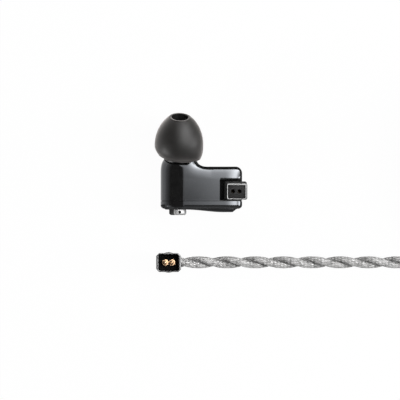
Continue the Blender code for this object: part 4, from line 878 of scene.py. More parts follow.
def make_tie():
    """A woven strap round all the turns, with its loose end pressed down on top."""
    size = (TIE_HIGH.y - TIE_LOW.y, TIE_HIGH.z - TIE_LOW.z)
    middle = ((TIE_LOW.y + TIE_HIGH.y) / 2, (TIE_LOW.z + TIE_HIGH.z) / 2)
    width = TIE_HIGH.x - TIE_LOW.x
    half = width / 2
    section = [(-half, TIE_THICKNESS), (-half, 0), (half, 0), (half, TIE_THICKNESS)]
    shape = bmesh.new()
    rings = []
    for x, depth in soften(section, TIE_EDGE, 4, on_axis=False):
        sizes = [length - 2 * depth for length in size]
        outline = rounded_outline(*sizes, TIE_CORNER + TIE_THICKNESS - depth, middle, 10)
        rings.append([shape.verts.new((COIL_X + x, y, z)) for y, z in outline])
    skin(shape, rings, closed=True)
    tie = piece("tie_strap", shape, "lead", "strap", ("coil_tie",))
    top = TIE_HIGH.z
    tab = block((width, TIE_END_LENGTH), TIE_END_CORNER, (COIL_X, middle[0] - TIE_END_SHIFT),
                top + TIE_END_GAP, top + TIE_THICKNESS, TIE_EDGE)
    return [tie, piece("tie_end", tab, "lead", "strap", ())]


# Plugs

def octagon(size, grow, chamfer, corner_round):
    """A chamfered rectangle round the plug's axis."""
    outline = rounded_outline(size[0] + 2 * grow, size[1] + 2 * grow, chamfer, (PLUG_X, PLUG_Y), 1)
    return soften(outline, corner_round, 3, on_axis=False)


def make_hood():
    """The plug's frame, open to the front and with a window in the cavity's floor."""
    low = HOOD_LOW.z
    top = HOOD_HIGH.z

    def outside(grow, height):
        return octagon(HOOD_SIZE, grow, HOOD_CHAMFER, HOOD_CORNER_ROUND), height

    def inside(grow, height):
        return octagon(CAVITY_SIZE, grow, HOOD_CHAMFER / 2, CAVITY_CORNER_ROUND), height

    rows = []
    for turn in spaced(0, pi / 2, 3):
        rows.append(outside(-HOOD_FOOT_ROUND * (1 - sin(turn)), low + HOOD_FOOT_ROUND * (1 - cos(turn))))
    for turn in spaced(0, pi / 2, 4):
        rows.append(outside(-HOOD_TOP_ROUND * (1 - cos(turn)), top - HOOD_TOP_ROUND * (1 - sin(turn))))
    for turn in spaced(pi / 2, 0, 3):
        rows.append(inside(CAVITY_ROUND * (1 - cos(turn)), top - CAVITY_ROUND * (1 - sin(turn))))
    window = octagon(WINDOW_SIZE, 0, FIT, FIT / 2)
    rows += [inside(0, CAVITY_FLOOR), (window, CAVITY_FLOOR), (window, low)]
    finishes = (FINISHES["grey_metal"], MATT_BLACK_AND_SHADE)
    hood = piece("plug_frame", collar(rows), "lead", "grey_metal", ("plug_hood",), finishes, 50)
    # Painted shade: the cavity's inner walls take the matt black
    for polygon in hood.data.polygons:
        spot = polygon.center
        across = abs(spot.x - PLUG_X) < CAVITY_SIZE[0] / 2 + HAIR
        along = abs(spot.y - PLUG_Y) < CAVITY_SIZE[1] / 2 + HAIR
        polygon.material_index = int(across and along and low < spot.z < top - HOOD_TOP_ROUND)
    return hood


def make_plug():
    pieces = [make_hood()]
    for name, side in (("left", -1), ("right", 1)):
        low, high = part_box("plug_pin_" + name)
        foot = CAVITY_FLOOR + PIN_COLLAR_RISE
        top = foot + PIN_COLLAR_HEIGHT
        profile = [(0, high.z), (PIN_RADIUS * 0.55, high.z), (PIN_RADIUS, high.z - PIN_RADIUS * 0.7),
                   (PIN_RADIUS, top), (PIN_COLLAR_RADIUS, top), (PIN_COLLAR_RADIUS, foot),
                   (PIN_RADIUS, foot), (PIN_RADIUS, low.z), (0, low.z)]
        place = Matrix.Translation((PLUG_X + side * (PIN_PITCH / 2 + PIN_SPREAD), PLUG_Y, 0))
        pieces.append(lathe("plug_contact_" + name, profile, PIN_EDGE, place, "lead", "gold",
                            "plug_pin_" + name, SMALL_TURNED, 4))
    place = Matrix.Translation((PLUG_X, PLUG_Y, 0))
    high = BARREL_HIGH.z
    profile = [(0, high), (BARREL_RADIUS, high)]
    for below in BARREL_GROOVES:
        profile += groove(BARREL_RADIUS, high - below, BARREL_GROOVE_DEPTH, -1)
    profile += [(BARREL_RADIUS, BARREL_LOW.z), (0, BARREL_LOW.z)]
    barrel = thing_of("plug_back", turned(soften(profile, TURNED_EDGE), TURNED, place))
    opening = rod(RELIEF_RADIUS + FIT, RELIEF_INSIDE - FIT, 2 * RELIEF_OUTSIDE)
    combine(barrel, turned(opening, SMALL_TURNED, EXIT_PLACE @ Matrix.Rotation(pi / 90, 4, "Z")))
    pieces.append(settle(barrel, "lead", "grey_metal", ("plug_barrel",)))
    profile = [(0, COVER_THICKNESS), (BARREL_RADIUS, COVER_THICKNESS), (BARREL_RADIUS, COVER_CHAMFER),
               (BARREL_RADIUS - COVER_CHAMFER, 0), (0, 0)]
    pieces.append(lathe("plug_cover", profile, SMALL_EDGE, place, "lead", "grey_metal",
                        "plug_back_cover"))
    profile = [(RELIEF_BORE, RELIEF_INSIDE), (RELIEF_RADIUS, RELIEF_INSIDE),
               (RELIEF_RADIUS, BARREL_RADIUS), (RELIEF_END_RADIUS, RELIEF_OUTSIDE),
               (RELIEF_BORE, RELIEF_OUTSIDE)]
    pieces.append(lathe("plug_relief", profile, TURNED_EDGE, EXIT_PLACE, "lead", "rubber",
                        "plug_strain_relief", SMALL_TURNED))
    return pieces


def make_jack():
    """Boot with grooves, barrel and contacts of the straight plug."""
    pieces = []

    def add(name, node, slot, profile, edge, count=SMALL_TURNED, steps=3):
        pieces.append(lathe(name, profile, edge, JACK_PLACE, "lead", slot, node, count, steps))

    rib = BOOT_LENGTH / BOOT_RIBS
    profile = [(RELIEF_BORE, 0)]
    for i in range(BOOT_RIBS):
        radius = BOOT_RADIUS + BOOT_FLARE * i / BOOT_RIBS
        valley = radius - BOOT_GROOVE_DEPTH
        profile += [(radius, rib * i), (radius, rib * (i + 0.62))]
        profile += [(valley, rib * (i + 0.7)), (valley, rib * (i + 0.95))]
    profile += [(BOOT_END_RADIUS, BOOT_LENGTH), (RELIEF_BORE, BOOT_LENGTH)]
    add("jack_relief", "jack_boot", "rubber", profile, SMALL_EDGE)
    low = JACK_LOW.y - BOOT_START
    high = JACK_HIGH.y - BOOT_START
    outer = JACK_BARREL_RADIUS
    inner = outer - JACK_CHAMFER
    profile = [(RELIEF_BORE, low), (inner, low), (outer, low + JACK_CHAMFER)]
    for before in JACK_GROOVES:
        profile += groove(outer, high - before, JACK_GROOVE_DEPTH, 1)
    profile += [(outer, high - JACK_CHAMFER), (inner, high), (RELIEF_BORE, high)]
    add("jack_body", "jack_barrel", "grey_metal", profile, TURNED_EDGE, TURNED)
    for name, node, slot in (("jack_contact_sleeve", "jack_sleeve", "gold"),
                             ("jack_band_back", "jack_insulator_back", "satin_black"),
                             ("jack_contact_ring", "jack_ring", "gold"),
                             ("jack_band_front", "jack_insulator_front", "satin_black")):
        node_low, node_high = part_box(node)
        start = max(node_low.y - BOOT_START, high + FIT)
        end = node_high.y - BOOT_START
        add(name, node, slot, rod(JACK_RADIUS, start, end, JACK_CORE), CONTACT_EDGE)
    back = end + FIT
    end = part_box("jack_tip")[1].y - BOOT_START
    length = end - back
    neck = JACK_RADIUS * 0.68
    profile = [(0, end), (neck * 0.55, end - length * 0.03), (JACK_RADIUS * 0.95, end - length * 0.4),
               (JACK_RADIUS, end - length * 0.5), (neck, end - length * 0.75), (JACK_RADIUS * 0.9, back),
               (0, back)]
    add("jack_contact_tip", "jack_tip", "gold", profile, JACK_TIP_EDGE, steps=5)
    return pieces


# Shell, faceplate and socket

def face_sag(x):
    """How far the front has fallen back at X."""
    return FACE_SAG * max(0, (x - COLUMN_X) / (FACE_END - COLUMN_X)) ** 2


def body_outline(inset):
    """Stations in X and Z from the left end along the front, and back along the rear in facing pairs."""
    right = BODY_RIGHT - inset
    front = BODY_DEPTH - inset
    radii = (COLUMN_REACH - inset, MIDDLE_Z - inset)
    points = arc((COLUMN_X, MIDDLE_Z), radii, pi, pi / 2, COLUMN_STEPS)
    points += [(x, front - face_sag(x)) for x in spaced(COLUMN_X, FACE_END, FACE_STEPS)[1:]]
    corner_depth = max(FRONT_CORNER[1] - face_sag(BODY_RIGHT) - inset, FIT)
    for turn in spaced(0, pi / 2, CORNER_STEPS)[1:]:
        x = FACE_END + (right - FACE_END) * sin(turn)
        points.append((x, front - face_sag(x) - corner_depth * (1 - cos(turn))))
    corner = max(BACK_CORNER - inset, FIT)
    points += [(right, z) for z in spaced(points[-1][1], inset + corner, SIDE_STEPS)[1:-1]]
    points += arc((right - corner, inset + corner), (corner, corner), 0, -pi / 2, CORNER_STEPS)
    points += [(x, inset) for x in spaced(right - corner, COLUMN_X, FACE_STEPS)[1:-1]]
    points += arc((COLUMN_X, MIDDLE_Z), radii, -pi / 2, -pi, COLUMN_STEPS)[:-1]
    return points


def flat_ring(inset, height):
    return [Vector((x, height, z)) for x, z in body_outline(inset)]


def facing_front(ring):
    """How much each station of a ring faces the front, 0 to 1."""
    count = len(ring)
    result = []
    for i in range(count):
        along = ring[(i + 1) % count] - ring[i - 1]
        result.append(max(0, along.x / Vector((along.x, along.z)).length))
    return result


def nozzle_point(angle, radius, rise):
    return SEAT + NOZZLE_TILT @ Vector((radius * cos(angle), -radius * sin(angle), rise))


def neck_spot(angle, inset, below):
    """A point of the neck's rim, which leans with the nozzle and stands higher on the right."""
    right = max(0, cos(angle))
    reach = NECK_RADIUS
    if right > 0:
        reach /= (right ** NECK_POWER + abs(sin(angle)) ** NECK_POWER) ** (1 / NECK_POWER)
    round_reach = NECK_RADIUS - inset
    lean = round_reach * (cos(angle) * NOZZLE_AXIS.x + sin(angle) * NOZZLE_AXIS.z) / NOZZLE_AXIS.y
    height = NECK.y - lean
    share = smooth_step((cos(angle) - NECK_RIGHT_SPAN[0]) / NECK_RIGHT_SPAN[1])
    height += max(0, NECK_RIGHT_Y - height) * share
    reach -= inset
    return Vector((NECK.x + reach * cos(angle), height - below, NECK.z + reach * sin(angle)))


def neck_fillet(foot, neck, turn):
    """A point of the hollow curve from the shoulder's foot up to the neck's rim."""
    level = Vector((neck.x - foot.x, 0, neck.z - foot.z))
    reach = level.length
    fillet = min(NECK_ROUND, NECK_LIMIT * reach)
    along = level * (1 - fillet * (1 - sin(turn)) / reach)
    return foot + along + Vector((0, SHOULDER_Y + (neck.y - SHOULDER_Y) * (1 - cos(turn)), 0))


def flow_to_neck(column, start, neck, angle):
    """The same column of points, drawn to one curve where the wall stands close to the neck.

    The curve swells outward on the left of the neck and is hollow on its right.
    """
    away = Vector((neck.x - start.x, 0, neck.z - start.z)).length
    apart = smooth_step((away - FLOW_NEAR) / FLOW_SPAN)
    hollow = smooth_step((cos(angle) + HOLLOW_SPAN[0]) / HOLLOW_SPAN[1])
    corner = Vector((start.x, start.y + FLOW_CORNER * (neck.y - start.y), start.z))
    first = start.lerp(corner, 2 / 3).lerp(Vector((start.x, SHOULDER_Y, start.z)), hollow)
    second = neck.lerp(corner, 2 / 3).lerp(Vector((neck.x, SHOULDER_Y, neck.z)), hollow)
    result = []
    for n, spot in enumerate(column):
        t = (n + 1) / len(column)
        s = 1 - t
        curve = start * s ** 3 + first * 3 * t * s * s + second * 3 * t * t * s + neck * t ** 3
        result.append(curve.lerp(spot, apart))
    return result


def shell_rings():
    """Rings of the shell: up the wall, over the shoulder and neck, down the bore and the inside."""
    base = flat_ring(0, 0)
    inner = flat_ring(SHOULDER_ROUND, 0)
    fronts = facing_front(base)
    falls = [SHOULDER_FALL[0] + SHOULDER_FALL[1] * front ** 2 for front in fronts]
    angles = [atan2(point.z - MIDDLE_Z, point.x - DRIVER_X) for point in base]

    def on_wall(index, height):
        swell = FACE_BULGE * max(0, 1 - (height / SHOULDER_Y) ** 2) * fronts[index] ** 2
        return base[index] + Vector((0, height, swell))

    shoulders = []
    necks = []
    for wall, inside, angle in zip(base, inner, angles):
        neck = neck_spot(angle, 0, NECK_EDGE)
        away = Vector((neck.x - wall.x, 0, neck.z - wall.z)).length
        shoulders.append((inside - wall) * min(1, SHOULDER_LIMIT * away / SHOULDER_ROUND))
        necks.append(neck)
    rings = [flat_ring(SEAM_LIP, SEAM_Y), flat_ring(SEAM_LIP, SEAM_LOW), flat_ring(0, SEAM_LOW)]
    for share in spaced(0, 1, WALL_ROWS)[1:]:
        heights = [SEAM_LOW + share * (SHOULDER_Y - fall - SEAM_LOW) for fall in falls]
        rings.append([on_wall(i, height) for i, height in enumerate(heights)])
    columns = []
    for i in range(len(base)):
        column = []
        for turn in spaced(0, pi / 2, ROUND_ROWS)[1:]:
            spot = on_wall(i, SHOULDER_Y - falls[i] * (1 - sin(turn)))
            column.append(spot + shoulders[i] * (1 - cos(turn)))
        foot = base[i] + shoulders[i]
        hollow = [neck_fillet(foot, necks[i], turn) for turn in spaced(0, pi / 2, ROUND_ROWS)]
        column += [column[-1].lerp(hollow[0], share) for share in (0.25, 0.5, 0.75)] + hollow
        columns.append(flow_to_neck(column, rings[-1][i], necks[i], angles[i]))
    rings += [[column[row] for column in columns] for row in range(len(columns[0]))]
    rims = [neck_spot(angle, NECK_EDGE, 0) for angle in angles]
    last = rings[-1]
    corners = [end + (end - before).normalized() * NECK_EDGE for before, end in zip(rings[-2], last)]
    for t in spaced(0, 1, 4)[1:]:
        ring = []
        for start, corner, end in zip(last, corners, rims):
            ring.append(start * (1 - t) ** 2 + corner * 2 * t * (1 - t) + end * t * t)
        rings.append(ring)
    bore = SPIGOT_RADIUS + 2 * FIT
    for radius, rise in ((COLLAR_RADIUS + RUN, 0), (bore, 0), (bore, -SPIGOT_LENGTH)):
        rings.append([nozzle_point(angle, radius, rise) for angle in angles])
    rings.append(flat_ring(SHELL_WALL, SHOULDER_Y - SHELL_WALL))
    rings.append(flat_ring(SHELL_WALL, SEAM_Y))
    return rings


def front_at(x, y):
    """Z of the shell's front at X and Y."""
    x = min(x, BODY_RIGHT - HAIR)
    swell = FACE_BULGE * max(0, 1 - (y / SHOULDER_Y) ** 2)
    level = BODY_DEPTH - face_sag(x)
    if x <= FACE_END:
        return level + swell
    share = (x - FACE_END) / FRONT_CORNER[0]
    fall = FRONT_CORNER[1] - face_sag(BODY_RIGHT)
    facing = sqrt(1 - share * share)
    slope = fall / FRONT_CORNER[0] * share / facing
    return level - fall * (1 - facing) + swell / (1 + slope * slope)


def notch_tool():
    """The corner that the socket takes up; the edge above it is rounded off."""
    low = FACE_TOP - MM
    right = BODY_RIGHT + MM
    corner = NOTCH_CORNER
    edge = arc((NOTCH_LEFT + corner, NOTCH_TOP - corner), (corner, corner), pi, pi / 2, 6)
    edge += [(x, NOTCH_TOP) for x in spaced(NOTCH_LEFT + corner, right, 30)[1:]]
    outline = [(NOTCH_LEFT, low)] + edge + [(right, low)]
    shape = bmesh.new()
    rings = [[(x, y, NOTCH_FLOOR) for x, y in outline]]
    for turn in spaced(0, pi / 2, 12):
        lift = NOTCH_FLARE[0] * (1 - cos(turn))
        depth = NOTCH_FLARE[1] * (1 - sin(turn)) - NOTCH_LIFT
        ring = []
        for x, y in outline:
            y += lift * smooth_step((y - NOTCH_TOP + corner) / corner)
            ring.append((x, y, front_at(x, y) - depth))
        rings.append(ring)
    rings.append([(x, y, BODY_DEPTH + MM) for x, y, z in rings[-1]])
    loops = loops_of(shape, rings)
    skin(shape, loops)
    shape.faces.new(loops[0])
    shape.faces.new(loops[-1])
    return shape


def make_shell():
    shape = bmesh.new()
    skin(shape, loops_of(shape, shell_rings()), closed=True)
    shell = thing_of("shell_body", shape)
    combine(shell, notch_tool())
    settle(shell, "housing", "gloss_black", ("main_shell",), sharp=35)


def crown(x):
    """How far the faceplate's outside swells at X."""
    from_right = BODY_RIGHT - x
    rise = smooth_step((CROWN_RISE[0] - from_right) / (CROWN_RISE[0] - CROWN_RISE[1]))
    fall = smooth_step((CROWN_FALL[0] - from_right) / (CROWN_FALL[0] - CROWN_FALL[1]))
    return (FACE_SWELL + (FACE_CROWN - FACE_SWELL) * rise) * (1 - fall)


def make_faceplate():
    wall_foot = FACE_TOP - FACE_WALL
    # A low rib carries the gasket
    rings = [flat_ring(SHELL_WALL, FACE_TOP), flat_ring(SHELL_WALL - FIT, FACE_TOP + FIT),
             flat_ring(SEAM_LIP + 2 * FIT, FACE_TOP + FIT), flat_ring(SEAM_LIP + FIT, FACE_TOP)]
    rings += [flat_ring(0, y) for y in spaced(FACE_TOP, wall_foot, 5)]
    turns = spaced(0, pi / 2, ROUND_ROWS)[1:]
    for turn in turns:
        height = wall_foot - (wall_foot - FACE_BOTTOM) * sin(turn)
        rings.append(flat_ring(FACE_ROUND * (1 - cos(turn)), height))
    for turn in turns:
        ring = flat_ring(FACE_ROUND + FACE_STEP * (1 - cos(turn)), FACE_BOTTOM)
        for point in ring:
            point.y -= crown(point.x) * sin(turn)
        rings.append(ring)
    shape = bmesh.new()
    loops = loops_of(shape, rings)
    skin(shape, loops)
    ladder_cap(shape, loops[0])
    ladder_cap(shape, loops[-1])
    cover = thing_of("face_cover", shape)
    holes = ((BUSH_RADIUS + FIT, 0), (VENT_PORT, -VENT_PORT_CIRCLE), (VENT_PORT, VENT_PORT_CIRCLE))
    for radius, x in holes:
        place = DIAL_PLACE @ Matrix.Translation((x, 0, 0)) @ Matrix.Rotation(HOLE_TURN, 4, "Z")
        combine(cover, turned(rod(radius, -HOLE_REACH, HOLE_REACH), SMALL_TURNED, place))
    combine(cover, turned(rod(DIAL_RADIUS + 2 * FIT, 0, HOLE_REACH), TURNED, DIAL_PLACE))
    settle(cover, "housing", "gloss_black", ("faceplate",), sharp=35)


def make_socket():
    plate = thing_of("socket_block", block_between(
        NOTCH_LEFT + FIT / 2, BODY_RIGHT - FIT, SOCKET_LOW.y, SOCKET_HIGH.y, PLATE_CORNER,
        SOCKET_LOW.z, PLATE_FRONT, PLATE_EDGE))
    half_width, half_height = NOSE_SIZE[0] / 2, NOSE_SIZE[1] / 2
    flange = block_between(
        NOSE_CENTRE[0] - half_width - FLANGE_LEFT, NOSE_CENTRE[0] + half_width + FLANGE_RIGHT,
        NOSE_CENTRE[1] - half_height - FLANGE_BELOW, NOSE_CENTRE[1] + half_height + FLANGE_ABOVE,
        NOSE_CORNER, FLANGE_FOOT, BODY_DEPTH, FLANGE_EDGE)
    nose = block(NOSE_SIZE, NOSE_CORNER, NOSE_CENTRE, PLATE_FRONT - UNION_DEPTH, RIM_FOOT, 3 * HAIR)
    inside = [length - 4 * HAIR for length in RECESS_SIZE]
    floor_block = block(inside, RECESS_CORNER, RECESS_CENTRE, RIM_FOOT - UNION_DEPTH, RECESS_FLOOR,
                        2 * HAIR)
    for shape in (flange, nose, floor_block):
        combine(plate, shape, "UNION")
    bore = PIN_RADIUS + FIT
    for side in (-1, 1):
        hole = [(0, RECESS_FLOOR + MM), (bore + RUN, RECESS_FLOOR + MM), (bore + RUN, RECESS_FLOOR),
                (bore, RECESS_FLOOR - RUN), (bore, NOTCH_FLOOR + MM), (0, NOTCH_FLOOR + MM)]
        place = Matrix.Translation((HOLE_CENTRE[0] + side * PIN_PITCH / 2, HOLE_CENTRE[1], 0))
        combine(plate, turned(hole, SMALL_TURNED, place))
    finishes = (FINISHES["satin_black"], MATT_BLACK_AND_SHADE)
    settle(plate, "housing", "satin_black", ("socket_housing",), finishes, 35)
    # Painted shade: the holes' walls and the block's sides in the notch take the matt black
    reach = PIN_RADIUS + 0.12 * MM
    for polygon in plate.data.polygons:
        spot = polygon.center
        across = abs(abs(spot.x - HOLE_CENTRE[0]) - PIN_PITCH / 2)
        in_hole = max(across, abs(spot.y - HOLE_CENTRE[1])) < reach and spot.z < RECESS_FLOOR - HAIR
        polygon.material_index = int(in_hole or spot.z < PLATE_FRONT + 2 * HAIR)


def make_rim():
    """The bright rim of the socket's nose; the round outside it and the walls below its top are painted
    shade in a dark steel.
    """
    foot = RIM_FOOT + HAIR
    rows = [(rounded_outline(*NOSE_SIZE, NOSE_CORNER, NOSE_CENTRE), foot)]
    for turn in spaced(0, pi / 2, 5):
        share = 1 - cos(turn)
        inset = RIM_ROUND * share
        size = [length - 2 * inset for length in NOSE_SIZE]
        centre = (NOSE_CENTRE[0] - RIM_SHIFT[0] * share, NOSE_CENTRE[1] + RIM_SHIFT[1] * share)
        outline = rounded_outline(*size, NOSE_CORNER - inset, centre)
        rows.append((outline, SOCKET_FRONT - RIM_EDGE * (1 - sin(turn))))
    dark_faces = (len(rows) - 1) * len(rows[0][0])
    for turn in spaced(pi / 2, 0, 5):
        inset = RIM_EDGE * (1 - cos(turn))
        size = [length + 2 * inset for length in RECESS_SIZE]
        outline = rounded_outline(*size, RECESS_CORNER + inset, RECESS_CENTRE)
        rows.append((outline, SOCKET_FRONT - RIM_EDGE * (1 - sin(turn))))
    rows.append((rounded_outline(*RECESS_SIZE, RECESS_CORNER, RECESS_CENTRE), foot))
    shape = collar(rows)
    # Painted shade: the round outside the rim and the walls below its top take the dark steel
    for number, face in enumerate(shape.faces):
        below = face.calc_center_median().z < SOCKET_FRONT - 0.3 * RIM_EDGE
        face.material_index = int(below or number < dark_faces)
    piece("socket_rim", shape, "housing", "grey_metal", (), (RIM_METAL, DARK_STEEL_AND_SHADE))


# Nozzle, ear tip and dial

def make_nozzle():
    seat = NOZZLE_LENGTH - GRILLE_THICKNESS - FIT
    profile = [
        (GRILLE_RADIUS + FIT, NOZZLE_LENGTH), (LIP_RADIUS - NECK_EDGE, NOZZLE_LENGTH),
        (LIP_RADIUS, NOZZLE_LENGTH - NECK_EDGE), (LIP_RADIUS, NOZZLE_LENGTH - LIP_LENGTH),
        (NOZZLE_RADIUS, NOZZLE_LENGTH - LIP_LENGTH - NECK_EDGE), (NOZZLE_RADIUS, COLLAR_HEIGHT),
        (COLLAR_RADIUS, COLLAR_HEIGHT), (COLLAR_RADIUS, FIT), (SPIGOT_RADIUS, FIT),
        (SPIGOT_RADIUS, -SPIGOT_LENGTH), (NOZZLE_BORE, -SPIGOT_LENGTH), (NOZZLE_BORE, seat),
        (GRILLE_RADIUS + FIT, seat)]
    lathe("nozzle_tube", profile, TURNED_EDGE, NOZZLE_PLACE, "housing", "steel", "nozzle",
          finishes=(DARK_STEEL_AND_SHADE,))


def tip_radius(rise):
    """Outside of the ear tip at a height above the collar's seat."""
    if rise >= TIP_WAIST:
        return TIP_RADIUS * sqrt(1 - ((rise - TIP_WAIST) / TIP_DOME) ** TIP_DOME_POWER)
    return TIP_RADIUS - TIP_TUCK * ((TIP_WAIST - rise) / (TIP_WAIST - TIP_RIM)) ** TIP_TUCK_POWER


def tip_profile(mouth):
    """Closed line of the tip: over the mouth, down the skirt and its rim, up inside, along the stem."""
    climb = [TIP_WAIST + (TIP_CREST - TIP_WAIST) * sin(turn) for turn in spaced(0, pi / 2, 40)]
    fall = spaced(TIP_WAIST, TIP_RIM, 24)[1:]
    half_lip = TIP_LIP / 2
    half_wall = TIP_WALL / 2
    profile = [(TIP_MOUTH, TIP_THROAT - 0.6 * MM), (mouth - 0.1 * MM, TIP_THROAT)]
    profile += [(mouth - 0.06 * MM, TIP_THROAT + FIT)]
    profile += arc((mouth + half_lip, TIP_CREST), (half_lip, TIP_LIP_HEIGHT), pi, 0, 10)
    profile += [(tip_radius(rise), rise) for rise in climb[-2::-1] + fall]
    profile += arc((tip_radius(TIP_RIM) - half_wall, TIP_RIM), (half_wall, half_wall), 0, -pi, 8)[1:]
    inside = [rise for rise in climb if tip_radius(rise) - TIP_WALL > TIP_STEM + TIP_WALL]
    profile += [(tip_radius(rise) - TIP_WALL, rise) for rise in fall[-2::-1] + inside]
    roof = inside[-1]
    reach = (tip_radius(roof) - TIP_WALL - TIP_STEM) / 2
    profile += arc((TIP_STEM + reach, roof), (reach, TIP_WALL), 0, pi, 8)[1:]
    profile += [(TIP_STEM, TIP_STEM_FOOT), (TIP_BORE, TIP_STEM_FOOT), (TIP_BORE, TIP_SHOULDER)]
    return profile + [(TIP_MOUTH, TIP_SHOULDER + TIP_WALL)]


def make_ear_tip():
    """A thin skirt turned back over the stem, with a rounded rim and mouth."""
    mouth = tip_radius(TIP_CREST) - TIP_LIP
    shape = turned(tip_profile(mouth), TURNED)
    # Painted shade: the mouth's inner wall and the bore take the matt black, as the inside of the tip
    # lies in shade
    for face in shape.faces:
        middle = face.calc_center_median()
        reach = middle.xy.length
        in_mouth = middle.z > TIP_THROAT - MM and reach < mouth + 0.075 * TIP_LIP
        in_bore = middle.z < TIP_SHOULDER + TIP_WALL and reach < TIP_BORE + FIT
        face.material_index = int(in_mouth or in_bore)
    for vert in shape.verts:
        spot = vert.co
        high = max(0, (spot.z - TIP_WAIST) / (TIP_TOP - TIP_WAIST))
        outside = smooth_step((spot.xy.length - TIP_STEM) / MM)
        low = max(0, (TIP_WAIST - spot.z) / (TIP_WAIST - TIP_RIM)) * outside
        left = max(0, -spot.x / TIP_RADIUS)
        right = max(0, spot.x / TIP_RADIUS)
        lift = TIP_RIM_LIFT[0] * (1 - right) + TIP_RIM_LIFT[1] * left
        spot.z += TIP_BEND * high * spot.y + low * lift
        spot.x += TIP_RIM_FLARE * low ** 2 * right
    bmesh.ops.transform(shape, matrix=NOZZLE_PLACE, verts=shape.verts)
    finishes = (FINISHES["silicone"], MATT_BLACK_AND_SHADE)
    piece("tip_silicone", shape, "soft_tip", "silicone", ("ear_tip",), finishes, 60)


def make_dial():
    low = RUN
    high = low + DIAL_HEIGHT
    grip = SPINDLE_RADIUS + FIT
    grip_end = low + SPINDLE_GRIP
    dish = high - DIAL_DISH
    profile = [(0, dish), (DIAL_RADIUS - DIAL_DISH_RIM[1], dish), (DIAL_RADIUS - DIAL_DISH_RIM[0], high),
               (DIAL_RADIUS - DIAL_EDGE, high), (DIAL_RADIUS, high - DIAL_EDGE), (DIAL_RADIUS, low),
               (grip, low), (grip, grip_end), (0, grip_end)]
    dial = thing_of("dial_knob", turned(soften(profile, SMALL_EDGE, 4), TURNED, DIAL_PLACE))
    for finish in (FINISHES["chrome"], DIAL_PAINTED_SHADE):
        dial.data.materials.append(finish)
    # Painted shade: a sector of the dial's side is painted dark where its metal would reflect darkness
    for polygon in dial.data.polygons:
        across = polygon.center.x - DIAL_X
        front = polygon.center.z - MIDDLE_Z
        on_edge = sqrt(across * across + front * front) > DIAL_RADIUS - DIAL_EDGE
        painted = DIAL_SHADE_EDGES[0] < atan2(across, front) < DIAL_SHADE_EDGES[1]
        polygon.material_index = int(on_edge and painted and abs(polygon.normal.y) < 0.9)
    across = DIAL_RADIUS * sin(MARKER_ANGLE)
    front = DIAL_RADIUS * cos(MARKER_ANGLE)
    facing = DIAL_PLACE @ placed((across, front, low + DIAL_HEIGHT / 2), (-pi / 2, 0, -MARKER_ANGLE))
    reach = MARKER_SIZE + FIT
    diamond = [(reach, 0), (0, reach), (-reach, 0), (0, -reach)]
    pocket = tower([(diamond, -MARKER_DEPTH), (diamond, MARKER_DEPTH)])
    bmesh.ops.transform(pocket, matrix=facing, verts=pocket.verts)
    combine(dial, pocket)
    settle(dial, "dial", "chrome", ("bass_dial",))


def finish_cad_nodes():
    """Finishes of the CAD nodes that stay, by the slots of the record."""
    for entry in frame["record"]["subparts"]:
        node = frame["nodes"].get(entry["node"])
        if node is None or node.type != "MESH":
            continue
        node.data.materials.clear()
        node.data.materials.append(NODE_FINISHES.get(entry["node"], FINISHES[entry["material_slot"]]))


# Light and table

def softbox(name, place, size, radiance, aim=(0, 0, 0.005), gloss=False):
    data = bpy.data.lights.new(name, "AREA")
    data.shape = "RECTANGLE"
    data.size = size[0]
    data.size_y = size[1]
    data.energy = radiance * pi * size[0] * size[1]
    lamp = bpy.data.objects.new(name, data)
    lamp.location = place
    lamp.rotation_euler = (Vector(place) - Vector(aim)).to_track_quat("Z", "Y").to_euler()
    lamp.visible_camera = False
    lamp.visible_glossy = gloss
    bpy.context.scene.collection.objects.link(lamp)


def on_stage(name, shape, material):
    thing = thing_of(name, shape)
    thing.data.materials.append(material)
    return thing


def open_skin(shape, rows):
    """Quads between rows of points that don't close."""
    loops = loops_of(shape, rows)
    for lower, upper in zip(loops, loops[1:]):
        for i in range(len(lower) - 1):
            shape.faces.new((lower[i], lower[i + 1], upper[i + 1], upper[i]))


def card_rows(start, end):
    """Rows of the corners of a flat card between two facing corners."""
    across, up = [axis for axis in range(3) if start[axis] != end[axis]]
    rows = []
    for rise in (start[up], end[up]):
        row = []
        for side in (start[across], end[across]):
            corner = list(start)
            corner[across] = side
            corner[up] = rise
            row.append(corner)
        rows.append(row)
    return rows


def bare_material(name):
    """A material with only its output, which isn't sampled as a lamp."""
    material = bpy.data.materials.new(name)
    material.use_nodes = True
    material.cycles.emission_sampling = "NONE"
    nodes = material.node_tree.nodes
    nodes.remove(nodes["Principled BSDF"])
    return material


def put_out(material, shader):
    tree = material.node_tree
    tree.links.new(shader.outputs[0], tree.nodes["Material Output"].inputs["Surface"])


def seen_white(tree):
    """1 for the rays that see the white of the background, else 0."""
    rays = add_node(tree, "ShaderNodeLightPath").outputs
    total = rays["Is Camera Ray"]
    for name in ("Is Glossy Ray", "Is Transmission Ray"):
        either = add_node(tree, "ShaderNodeMath", {0: total, 1: rays[name]}, operation="MAXIMUM")
        total = either.outputs[0]
    return total


def make_world():
    world = bpy.data.worlds.new("studio")
    bpy.context.scene.world = world
    world.use_nodes = True
    world.cycles.sampling_method = "NONE"
    tree = world.node_tree
    sources = {"Value": seen_white(tree), "To Min": WORLD_LEVEL, "To Max": 1.0}
    span = add_node(tree, "ShaderNodeMapRange", sources)
    background = tree.nodes["Background"]
    background.inputs["Color"].default_value = (1, 1, 1, 1)
    tree.links.new(span.outputs[0], background.inputs["Strength"])


